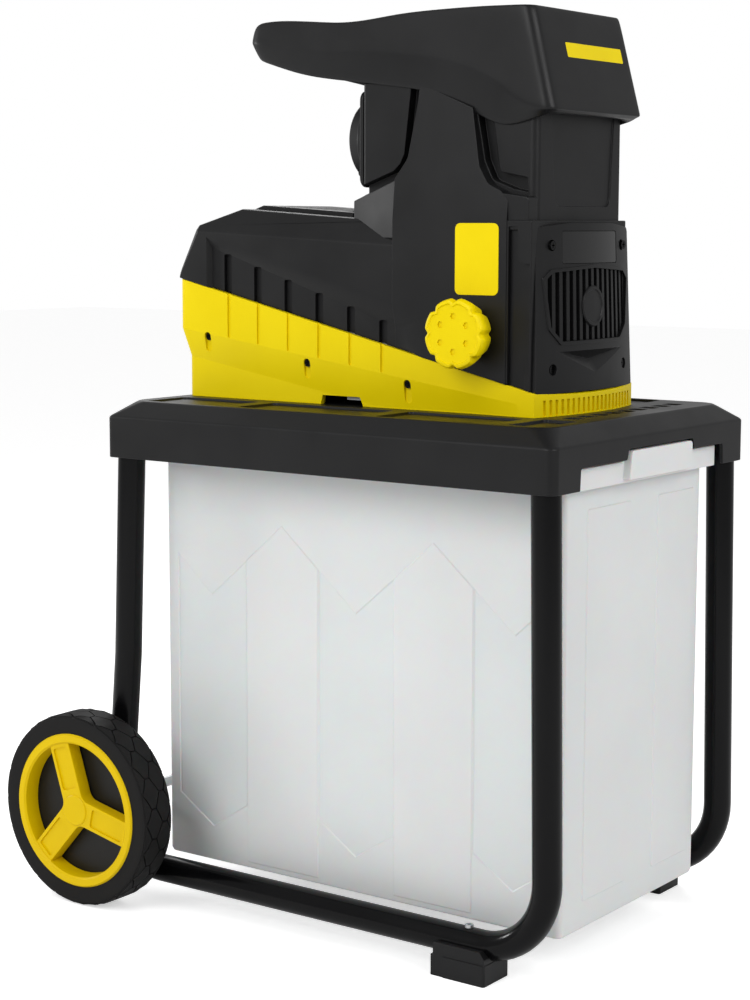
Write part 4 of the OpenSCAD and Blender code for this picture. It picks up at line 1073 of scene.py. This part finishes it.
class SHREDDER_OT_front_cover(Operator):
    """Model the bowed front cover with its grille, boss, chevron and window plate"""

    bl_idname = "shredder.front_cover"
    bl_label = "Front cover"

    def execute(self, context):
        sizes = context.scene.shredder_cover
        nose = span("front_cover")[1].x - 3
        deep = sizes.grille_depth * MILLI
        # Height about which the face leans back and narrows, and by how much for each millimetre of rise
        middle_z, lean, draft = 662, 0.033, 0.00032
        # Half width, middle height and half height of the grille
        grille_half, grille_z, grille_tall = 82, 668, 36

        def flat(outline, low, high):
            return solid(outline, FRONT, low, high)

        def bowed(bm):
            """Bend a flat front about the upright, lean it back and draw it in towards the top."""
            for step in range(-14, 15):
                slice_at(bm, (0, step * 6.5, 0), (0, 1, 0))
            for vert in bm.verts:
                down = middle_z - vert.co.z
                vert.co.x += nose + bow(vert.co.y) + lean * down
                vert.co.y *= 1 + draft * down
            return bm

        def shield(grow):
            """The grille's outline, grown on all sides."""
            wider, taller = 1 + grow / grille_half, 1 + grow / grille_tall
            corners = [(grille_half, 692, 2), (71, 700, 4), (0, 704, 60), (-71, 700, 4)]
            corners += [(-grille_half, 692, 2), (-74, 645, 6), (-57, 631, 6), (57, 631, 6), (74, 645, 6)]
            return rounded([(u * wider, grille_z + (v - grille_z) * taller, r) for u, v, r in corners])

        half, foot, head = 94, 579, 745
        crest = [(43, head + 4.5, 200), (-43, head + 4.5, 200)]
        outline = [(-half, foot, 3), (half, foot, 3), (half, head, 6), *crest, (-half, head, 6)]
        bm = combine(flat(rounded(outline), -14, 0), flat(shield(3.6), -5, 1.6), "UNION")
        bm = carve(bm, flat(shield(0), -deep, PAST))

        low, high = span("front_window")
        fit = 0.5
        seat = oblong(low.y - fit, high.y + fit, low.z - fit, high.z + fit, 3)
        bm = carve(bm, flat(seat, -1.4, PAST))

        chevron = bmesh.new()
        for point in ((1, -72, 622), (1, 72, 622), (1, 0, 596), (-9, 0, 611)):
            chevron.verts.new(point)
        bmesh.ops.convex_hull(chevron, input=chevron.verts)
        bm = carve(bm, chevron)

        holes = bmesh.new()
        for y, z in ((-71, 727), (71, 727), (-70, 603), (70, 603)):
            prism(holes, circle(y, z, 5.6), FRONT, -4, PAST)
        bm = carve(bm, holes)
        round_edges(bm, 0.7, 2)

        pitch, wide = sizes.bar_pitch * MILLI, sizes.bar_width * MILLI
        count, root = int(grille_half / pitch), -deep - 0.5
        bars = bmesh.new()
        for i in range(-count, count + 1):
            bar = oblong(i * pitch - wide / 2, i * pitch + wide / 2, 620, 715, 0.3, 1)
            prism(bars, bar, FRONT, root, -1.2)
        bars = combine(bars, flat(shield(0), -deep - 2, 2), "INTERSECT")
        put_in(bm, round_edges(bars, 1.2, 3))

        boss_z, radius = 665, 21
        steps = [(root, POLE), (root, radius), (-0.6, radius), (0.6, radius - 1)]
        steps += [(0.6, radius - 3.5), (-0.4, radius - 4.5), (-0.4, POLE)]
        lathe(bm, steps, 0, boss_z, 48)
        piece("front_cover", bowed(bm))
        plate = round_edges(flat(oblong(low.y, high.y, low.z, high.z, 2.6), -3, -0.4), 0.3, 2)
        piece("front_window", bowed(plate))
        return {"FINISHED"}


class SHREDDER_OT_knob(Operator):
    """Model the notched adjusting knob"""

    bl_idname = "shredder.knob"
    bl_label = "Adjusting knob"

    def execute(self, context):
        notches = context.scene.shredder_cover.notch_count
        low, high = span("adjuster_knob")
        x, _, z = middle("adjuster_knob")
        radius = (high.x - low.x) / 2
        count, bite = 20 * notches, 0.1

        def ring(scale, depth):
            points = []
            for k in range(count):
                angle = 2 * math.pi * k / count
                notch = max(math.cos(notches * angle), 0) ** 3
                r = radius * scale * (1 - bite * notch)
                points.append(Vector((x + r * math.cos(angle), depth, z + r * math.sin(angle))))
            return points

        face = low.y
        sides = [(0.62, high.y), (0.82, high.y - 6), (0.96, face + 12), (1.0, face + 7), (0.985, face + 3)]
        crown = [(0.95, face + 0.8), (0.9, face), (0.86, face), (0.83, face + 1.2), (0.3, face + 1.2)]
        bm = loft(bmesh.new(), [ring(scale, depth) for scale, depth in sides + crown])
        dimples = bmesh.new()
        for k in range(6):
            angle = math.radians(60 * k + 30)
            spot = (x + 0.5 * radius * math.cos(angle), z + 0.5 * radius * math.sin(angle))
            prism(dimples, circle(*spot, 3.6, 6), SIDE, face - PAST, face + 3)
        piece("adjuster_knob", carve(bm, dimples))
        return {"FINISHED"}


def switch_plate(plate_face):
    """The plate on the tower's back, with the inlet's seat and a collar round the knob."""
    low, high = span("switch_box")
    bm = solid(oblong(low.y, high.y, low.z, high.z, 10), FRONT, plate_face, high.x)
    inlet_low, inlet_high = span("power_inlet")
    seat = oblong(inlet_low.y, inlet_high.y, inlet_low.z, inlet_high.z, 3)
    bm = round_edges(carve(bm, solid(seat, FRONT, plate_face - PAST, high.x + PAST)), 1.4)
    knob_low, knob_high = span("switch_knob")
    _, y, z = middle("switch_knob")
    bore = (knob_high.y - knob_low.y) / 2 + 0.8
    root = plate_face + 2
    steps = [(root, bore), (low.x, bore), (low.x, bore + 3), (low.x + 2, bore + 4.2), (root, bore + 4.2)]
    return lathe(bm, steps, y, z, 72)


def switch_knob(plate_face):
    """The turning knob with its grip across."""
    low, high = span("switch_knob")
    _, y, z = middle("switch_knob")
    radius, face = (high.y - low.y) / 2, low.x
    dish = face + 12
    steps = [(high.x, POLE), (high.x, radius * 0.6), (plate_face, radius), (face + 16, radius)]
    steps += [(face + 13.5, radius - 1), (dish, radius - 4), (dish, POLE)]
    bm = lathe(bmesh.new(), steps, y, z, 72)
    foot, head = z - radius + 5, z + radius - 5
    grip = rounded([(y - 9, foot, 5), (y + 9, foot, 5), (y + 7, head, 6), (y - 7, head, 6)])
    return put_in(bm, round_edges(solid(grip, FRONT, face, dish + 1), 2, 3))


def reset_button():
    """The domed overload button."""
    low, high = span("reset_button")
    _, y, z = middle("reset_button")
    radius, face = (high.y - low.y) / 2, low.x
    steps = [(high.x, POLE), (high.x, radius), (face + 1.5, radius)]
    steps += [(face + 0.4, radius - 1.2), (face, radius - 3), (face, POLE)]
    return lathe(bmesh.new(), steps, y, z, 32)


def power_inlet():
    """The inlet with its well and three pins."""
    low, high = span("power_inlet")
    _, y, z = middle("power_inlet")
    bm = solid(oblong(low.y, high.y, low.z, high.z, 3), FRONT, low.x, high.x)
    well = oblong(y - 17, y + 17, z - 14, z + 14, 8)
    bm = round_edges(carve(bm, solid(well, FRONT, low.x - PAST, high.x - 3)), 0.8, 2)
    for across, up in ((-7, 4), (0, -4), (7, 4)):
        pin = circle(y + across, z + up, 2.2, 16)
        put_in(bm, round_edges(solid(pin, FRONT, low.x + 4, high.x - 2), 0.6, 2))
    return bm


class SHREDDER_OT_switch(Operator):
    """Model the switch on the tower's back: plate, turning knob, reset button and power inlet"""

    bl_idname = "shredder.switch"
    bl_label = "Switch"

    def execute(self, context):
        plate_face = span("switch_box")[1].x - 5
        piece("switch_box", switch_plate(plate_face))
        piece("switch_knob", switch_knob(plate_face))
        piece("reset_button", reset_button())
        piece("power_inlet", power_inlet())
        return {"FINISHED"}


class SHREDDER_OT_deck(Operator):
    """Model the deck with its sloped shoulder, skirt, top pockets and front notch"""

    bl_idname = "shredder.deck"
    bl_label = "Deck"

    def execute(self, context):
        low, high = span("deck")
        wide, deep, top = high.x, high.y, high.z

        def ring(inward, z, radius):
            walls = inward - wide, wide - inward, inward - deep, deep - inward
            return tray(*walls, radius, radius + 4, lambda x: z, 4, 4, 6)

        # The skirt, the sloped shoulder and the edge of the top
        rings = [(0, low.z, 7), (0, 538, 7), (1.2, 540, 8), (16.5, 554, 20), (19, top, 22)]
        bm = loft(bmesh.new(), [ring(*row) for row in rings])
        wall = 4
        inner = oblong(wall - wide, wide - wall, wall - deep, deep - wall, 7)
        bm = carve(bm, solid(inner, PLAN, low.z - PAST, 534))

        under, step, head = low.z - PAST, 516, 527
        notch = [(-150, under, 0), (-148, step, 3), (-58, step, 3), (-55, head, 3)]
        notch += [(80, head, 3), (83, step, 3), (148, step, 3), (150, under, 0)]
        bm = carve(bm, solid(rounded(notch), FRONT, wide - 12, wide + PAST))

        pockets = bmesh.new()
        for near, far in both_sides(110, 174):
            for left, right in ((-250, -142), (-122, 38), (58, 196)):
                prism(pockets, oblong(left, right, near, far, 5), PLAN, top - 2.6, top + PAST)
        first, pitch = -82, 26
        for i in range(9):
            y = first + pitch * i
            prism(pockets, oblong(222, 240, y, y + 18, 3), PLAN, top - 4, top + PAST)
        prism(pockets, oblong(214, 252, -170, -100, 5), PLAN, top - 3, top + PAST)
        bm = carve(bm, pockets)
        piece("deck", round_edges(bm, 0.9, 2, 16))
        return {"FINISHED"}


def frame_tube(name):
    """One side's bent tube: front leg, floor run, and back leg with its kink."""
    radius, y = 15, middle(f"frame_tube_{name}")[1]
    corners = [(265.3, 536, 0), (274, 35, 75), (-295.1, 35, 62), (-275, 272, 120), (-264.3, 536, 0)]
    route = rounded(corners, 14)
    rings = []
    for i, here in enumerate(route):
        ahead = route[min(i + 1, len(route) - 1)] - route[max(i - 1, 0)]
        across = Vector((-ahead.y, 0, ahead.x)).normalized() * radius
        centre = Vector((here.x, y, here.y))
        rings.append([centre + across * p.x + Vector((0, radius * p.y, 0)) for p in circle(0, 0, 1, 28)])
    return loft(bmesh.new(), rings)


def clip_foot(name):
    """A front foot: sole, strap over the tube, and a shallow step in its near face."""
    low, high = span(f"foot_{name}")
    sole = round_edges(solid(oblong(low.x, high.x, low.y, high.y, 2.5, 3), PLAN, low.z, 22), 1.2, 2)
    left, right = low.x + 3, high.x - 0.6
    strap = [(left, 8, 0), (right, 8, 0), (right, high.z - 7, 2), (high.x - 6, high.z, 2), (left, high.z, 2)]
    strap = round_edges(solid(rounded(strap, 3), SIDE, low.y + 1, high.y - 1), 1.2, 2)
    corner = (low.x - PAST, low.y - PAST, -PAST), (low.x + 16, low.y + 1.5, high.z + PAST)
    return carve(combine(sole, strap, "UNION"), block(bmesh.new(), *corner))


class SHREDDER_OT_stand(Operator):
    """Model the bent tubes and the clip-on feet"""

    bl_idname = "shredder.stand"
    bl_label = "Stand"

    def execute(self, context):
        for name in ("near", "far"):
            piece(f"frame_tube_{name}", frame_tube(name))
            piece(f"foot_{name}", clip_foot(name))
        return {"FINISHED"}


class Wheel:
    """One wheel's measures; a place on it is a radius, a depth outwards from its middle and an angle."""

    def __init__(self, name, side):
        self.name, self.side = name, side
        low, high = span(f"tyre_{name}")
        self.x, self.y, self.z = middle(f"tyre_{name}")
        self.outer, self.half = (high.x - low.x) / 2, (high.y - low.y) / 2
        low, high = span(f"rim_{name}")
        self.bead = (high.x - low.x) / 2

    def at(self, radius, depth, angle=0.0):
        x, z = self.x + radius * math.cos(angle), self.z + radius * math.sin(angle)
        return Vector((x, self.y + self.side * depth, z))

    def ends(self, node):
        """Depth of the inner and of the outer end of one of the wheel's nodes."""
        return sorted(self.side * (corner.y - self.y) for corner in span(f"{node}_{self.name}"))

    def spun(self, bm, profile, steps=96):
        """A profile (radius, depth) spun round the axle."""
        return turned(bm, [self.at(r, d) for r, d in profile], (self.x, 0, self.z), (0, 1, 0), steps)

    def raised(self, bm, outline, low, high):
        """A drawing round the axle pulled from one depth to another."""
        placed = [point + Vector((self.x, self.z)) for point in outline]
        return prism(bm, placed, SIDE, self.y + self.side * low, self.y + self.side * high)


def wheel_tyre(wheel, sizes):
    """The tyre with rows of pointed tread blocks."""
    outer, half = wheel.outer, wheel.half
    deep = sizes.tread_depth * MILLI
    flank = [(wheel.bead, half - 1), (outer - 7, half), (outer - 3.4, half - 0.8), (outer - deep, half - 3)]
    bm = wheel.spun(bmesh.new(), [(r, -d) for r, d in flank] + flank[::-1])
    count = sizes.tread_blocks
    pitch = 2 * math.pi / count
    edge = half - 2
    tall = edge / 1.65
    gap = sizes.tread_gap * MILLI / 2
    taper, shoulder, drop = 1.4, 0.78, 3

    def section(turn, row, start):
        """A cut through a block; towards the tyre's edge its top falls away."""
        rise = tall - taper * tall * abs(turn) - gap
        near, far = max(row - rise, -edge), min(row + rise, edge)
        root = outer - deep - 1
        points = []
        for radius, depth in ((root, near), (outer, near), (outer, far), (root, far)):
            fall = drop * max(abs(depth) / half - shoulder, 0) / (1 - shoulder)
            points.append(wheel.at(radius - fall, depth, start + turn * pitch))
        return points

    inner_reach, edge_reach = 0.5 - gap / (pitch * outer), 0.44
    rows = [(-1.95, edge_reach), (-0.65, inner_reach), (0.65, inner_reach), (1.95, edge_reach)]
    for i in range(count):
        for k, (row, reach) in enumerate(rows):
            start = (i + 0.5 * (k % 2)) * pitch
            loft(bm, [section(reach * step / 3, row * tall, start) for step in range(-3, 4)])
    return bm


def wheel_rim(wheel):
    """The rim with its web and hub."""
    bead, half, hub = wheel.bead, wheel.half, wheel.ends("rim")[0]
    boss, bore = 15, 7
    profile = [(bead, 2 - half), (bead, half - 3), (bead - 3, half - 3), (bead - 4, 3), (boss, 3), (boss, 6)]
    profile += [(bore, 6), (bore, hub), (boss, hub), (boss, -1), (bead - 6, -1), (bead - 6, 2 - half)]
    return wheel.spun(bmesh.new(), profile)


def wheel_cover(wheel, sizes):
    """The cover: an outer ring, spokes with sunk panels, and a cap."""
    bead, face = wheel.bead, wheel.ends("wheel_cover")[1]
    web, arm, level = 4, 14.5, face - 2.5
    ring = [(bead - 0.3, web), (bead - 0.3, face - 2), (bead - 2, face), (bead - 9, face)]
    bm = wheel.spun(bmesh.new(), ring + [(bead - 11, face - 2), (bead - 12.5, web)])
    spread = 2 * math.pi / sizes.spoke_count
    first = math.radians(90) + sizes.spoke_turn
    turns = [Matrix.Rotation(first + i * spread, 2) for i in range(sizes.spoke_count)]
    corners = []
    for i, turn in enumerate(turns):
        crotch = Matrix.Rotation(first + (i + 0.5) * spread, 2)
        corners.append((*(turn @ Vector((bead - 6, -arm))), 0))
        corners.append((*(turn @ Vector((bead - 6, arm))), 0))
        corners.append((*(crotch @ Vector((arm / math.sin(spread / 2), 0))), 13))
    star = wheel.raised(bmesh.new(), rounded(corners), web + 0.4, level)
    bm = combine(bm, round_edges(star, 1.2, 2), "UNION")
    edge = 4
    sunk = bmesh.new()
    for turn in turns:
        panel = [turn @ point for point in oblong(24, bead - 15, edge - arm, arm - edge, 3)]
        wheel.raised(sunk, panel, level - 2, level + PAST)
    cap = [(POLE, level - 3), (17, level - 3), (17, level + 0.6), (16, level + 1.4), (POLE, level + 1.4)]
    return wheel.spun(carve(bm, sunk), cap, 48)


class SHREDDER_OT_wheels(Operator):
    """Model the tyres with their honeycomb tread, the rims and the spoked covers"""

    bl_idname = "shredder.wheels"
    bl_label = "Wheels"

    def execute(self, context):
        sizes = context.scene.shredder_stand
        for name, side in (("near", -1), ("far", 1)):
            wheel = Wheel(name, side)
            piece(f"tyre_{name}", wheel_tyre(wheel, sizes))
            piece(f"rim_{name}", wheel_rim(wheel))
            piece(f"wheel_cover_{name}", wheel_cover(wheel, sizes))
        return {"FINISHED"}


class SHREDDER_OT_bin(Operator):
    """Model the pull-out bin with its raised and sunk side panels, rim and front pull"""

    bl_idname = "shredder.bin"
    bl_label = "Bin"

    def execute(self, context):
        sizes = context.scene.shredder_bin
        low, high = span("bin")
        back, front, half, floor, rim = low.x, 264, 141, low.z, 503
        wall, relief = 3, sizes.panel_relief * MILLI

        def ring(inward, z, radius):
            walls = back + inward, front - inward, inward - half, half - inward
            return tray(*walls, radius, radius, lambda x: z, 4, 4, 6)

        outside = [(5, floor, 5), (1.5, floor + 1.5, 6), (0, floor + 5, 6), (0, rim, 6)]
        inside = [(wall, rim, 4), (wall, floor + 8, 4), (8, floor + 4, 4)]
        bm = loft(bmesh.new(), [ring(*row) for row in outside + inside])

        raised, sunk = bmesh.new(), bmesh.new()

        def panel(outline, view, face, way):
            """A panel with sloped flanks that stands out of a face, or lies in it."""
            small = inset(outline, 1.2)
            steps = [(outline, -1), (outline, 0), (small, relief)]
            if way == "in":
                steps = [(small, -relief), (outline, 0), (outline, PAST)]
            out = math.copysign(1, face)
            rings = [[view @ Vector((u, v, face + out * depth)) for u, v in flat] for flat, depth in steps]
            loft(sunk if way == "in" else raised, rings)

        # Pointed panels along both sides, in turn raised and sunk
        pitch, first, edge = sizes.panel_pitch * MILLI, 60, 10
        eaves, swing, foot, dip = 386, 42, 112, 32
        for k in range(-3, 2):
            left = max(first + k * pitch, back + edge)
            right = min(first + (k + 1) * pitch, front - edge)
            tip = first + (k + 0.5) * pitch
            way, point = ("in", eaves - swing) if k % 2 else ("out", eaves + swing)
            feet = [(left, foot), (tip, foot - dip), (right, foot)]
            if way == "out":
                feet = [(left, floor + 8), (right, floor + 8)]
            for side in (-half, half):
                panel(feet + [(right, eaves), (tip, point), (left, eaves)], SIDE, side, way)
        for left, right in ((-100, -12), (44, 124)):
            for face in (front, back):
                panel(oblong(left, right, floor + 30, 470, 3), FRONT, face, "out")
        bm = carve(combine(bm, raised, "UNION"), sunk)

        # The rails along both sides, and the pull across the front with its flap
        lip, lip_low, lip_top, flap_low, flap_top = 277, 492, 514, 496, 525
        ends, heights = (back + 6, front - 20), (lip_low + 1.5, rim - 0.6)
        rails = bmesh.new()
        for near, far in ((low.y + 0.6, 1.4 - half), (half - 1.4, high.y - 0.6)):
            block(rails, (ends[0], near, heights[0]), (ends[1], far, heights[1]))
        bm = combine(bm, rails, "UNION")
        pull = block(bmesh.new(), (front - 24, low.y, lip_low), (lip, high.y, lip_top))
        pull = carve(pull, block(bmesh.new(), (front - 40, 2 - half, 470), (front - 2, half - 2, 520)))
        pull = carve(pull, block(bmesh.new(), (front + 2, 4 - half, 470), (lip - 3, half - 4, lip_top - 3)))
        flap = rounded([(-54, flap_low, 2), (78, flap_low, 2), (78, flap_top, 4), (-50, flap_top, 4)], 4)
        pull = combine(pull, solid(flap, FRONT, lip - 2, high.x - 3), "UNION")
        piece("bin", combine(bm, round_edges(pull, 1.0, 2), "UNION"))
        return {"FINISHED"}


class SHREDDER_OT_finishes(Operator):
    """Give the CAD nodes that stay in view or inside their materials"""

    bl_idname = "shredder.finishes"
    bl_label = "Remaining finishes"

    def execute(self, context):
        for name, obj in frame["nodes"].items():
            material = NODE_MATERIALS.get(name, SLOT_MATERIALS[SLOTS[name]])()
            obj.data.materials.clear()
            obj.data.materials.append(material)
        return {"FINISHED"}


def paper_floor(scene, glow):
    """A wide paper floor, brighter in the picture, that gives no light of its own to the part."""
    mesh = bpy.data.meshes.new("floor")
    bm = bmesh.new()
    bmesh.ops.create_grid(bm, x_segments=1, y_segments=1, size=12)
    bm.to_mesh(mesh)
    bm.free()
    floor = bpy.data.objects.new("floor", mesh)
    scene.collection.objects.link(floor)
    paper = studio_paper()
    mesh.materials.append(paper)
    tree = paper.node_tree
    ray = add(tree, "ShaderNodeLightPath").outputs["Is Camera Ray"]
    strength = add(tree, "ShaderNodeMath", {0: ray, 1: glow}, operation="MULTIPLY")
    shader = tree.nodes["Principled BSDF"]
    shader.inputs["Emission Color"].default_value = WHITE
    tree.links.new(strength.outputs[0], shader.inputs["Emission Strength"])


def white_world(scene, ambient):
    """Even light from all round, behind which the picture shows plain white."""
    world = scene.world or bpy.data.worlds.new("studio")
    scene.world = world
    world.use_nodes = True
    tree = world.node_tree
    lit = tree.nodes["Background"]
    lit.inputs["Color"].default_value = WHITE
    lit.inputs["Strength"].default_value = ambient
    seen = add(tree, "ShaderNodeBackground", {"Color": WHITE, "Strength": 1.0})
    ray = add(tree, "ShaderNodeLightPath").outputs["Is Camera Ray"]
    mix = add(tree, "ShaderNodeMixShader", {0: ray, 1: lit.outputs[0], 2: seen.outputs[0]})
    tree.links.new(mix.outputs[0], tree.nodes["World Output"].inputs["Surface"])


def soft_lamp(scene, name, place, target, size, power):
    """A square lamp that looks at a point."""
    lamp = bpy.data.lights.new(name, "AREA")
    lamp.size = size
    lamp.energy = power
    obj = bpy.data.objects.new(name, lamp)
    obj.location = place
    obj.rotation_euler = (Vector(target) - Vector(place)).to_track_quat("-Z", "Y").to_euler()
    scene.collection.objects.link(obj)


def photo_camera(scene, sizes):
    """The camera at the photograph's place and angle."""
    camera = bpy.data.cameras.new("camera")
    camera.lens = sizes.lens
    camera.sensor_width = 36
    eye = bpy.data.objects.new("camera", camera)
    eye.location = sizes.camera_at
    level = math.cos(sizes.pitch)
    ahead = Vector((-math.sin(sizes.yaw) * level, math.cos(sizes.yaw) * level, -math.sin(sizes.pitch)))
    turn = ahead.to_track_quat("-Z", "Y").to_matrix() @ Matrix.Rotation(sizes.roll, 3, "Z")
    eye.rotation_euler = turn.to_euler()
    scene.collection.objects.link(eye)
    scene.camera = eye


class SHREDDER_OT_stage(Operator):
    """Set up the pale floor, the soft lights and the camera at the photograph's angle"""

    bl_idname = "shredder.stage"
    bl_label = "Studio"

    def execute(self, context):
        scene = context.scene
        sizes = scene.shredder_stage
        paper_floor(scene, sizes.paper_glow)
        white_world(scene, sizes.ambient)
        # Name, place, target, size and power of each lamp, in metres and watts
        lamps = [
            ("key", (-0.2, -3.0, 2.2), (0.0, 0, 0.5), 2.2, 54),
            ("side", (2.6, -0.5, 1.9), (0.05, 0, 0.5), 1.4, 29),
            ("back", (-1.8, 1.6, 2.4), (0.05, 0, 0.6), 1.6, 26),
            ("rim", (-2.4, -0.9, 1.0), (0.0, 0, 0.5), 0.35, 12),
        ]
        for lamp in lamps:
            soft_lamp(scene, *lamp)
        photo_camera(scene, sizes)
        scene.view_settings.view_transform = "Standard"
        return {"FINISHED"}


class SHREDDER_PT_panel(Panel):
    """Buttons for each group of pieces, in the order in which they are made"""

    bl_idname = "SHREDDER_PT_panel"
    bl_label = "Garden shredder"
    bl_space_type = "VIEW_3D"
    bl_region_type = "UI"
    bl_category = "Shredder"

    def draw(self, context):
        for operator in OPERATORS:
            self.layout.operator(operator.bl_idname)


SETTINGS = {
    "shredder_hopper": HopperSettings,
    "shredder_housing": HousingSettings,
    "shredder_cover": CoverSettings,
    "shredder_stand": StandSettings,
    "shredder_bin": BinSettings,
    "shredder_finish": FinishSettings,
    "shredder_stage": StageSettings,
}

OPERATORS = [
    SHREDDER_OT_hopper,
    SHREDDER_OT_tower,
    SHREDDER_OT_side_covers,
    SHREDDER_OT_motor_housing,
    SHREDDER_OT_base,
    SHREDDER_OT_front_cover,
    SHREDDER_OT_knob,
    SHREDDER_OT_switch,
    SHREDDER_OT_deck,
    SHREDDER_OT_stand,
    SHREDDER_OT_wheels,
    SHREDDER_OT_bin,
    SHREDDER_OT_finishes,
    SHREDDER_OT_stage,
]


def register():
    for cls in [*SETTINGS.values(), *OPERATORS, SHREDDER_PT_panel]:
        bpy.utils.register_class(cls)
    for name, cls in SETTINGS.items():
        setattr(bpy.types.Scene, name, PointerProperty(type=cls))


def unregister():
    for name in SETTINGS:
        delattr(bpy.types.Scene, name)
    for cls in reversed([*SETTINGS.values(), *OPERATORS, SHREDDER_PT_panel]):
        bpy.utils.unregister_class(cls)


def main():
    register()
    bpy.ops.shredder.hopper()
    bpy.ops.shredder.tower()
    bpy.ops.shredder.side_covers()
    bpy.ops.shredder.motor_housing()
    bpy.ops.shredder.base()
    bpy.ops.shredder.front_cover()
    bpy.ops.shredder.knob()
    bpy.ops.shredder.switch()
    bpy.ops.shredder.deck()
    bpy.ops.shredder.stand()
    bpy.ops.shredder.wheels()
    bpy.ops.shredder.bin()
    bpy.ops.shredder.finishes()
    bpy.ops.shredder.stage()


if __name__ == "__main__":
    main()
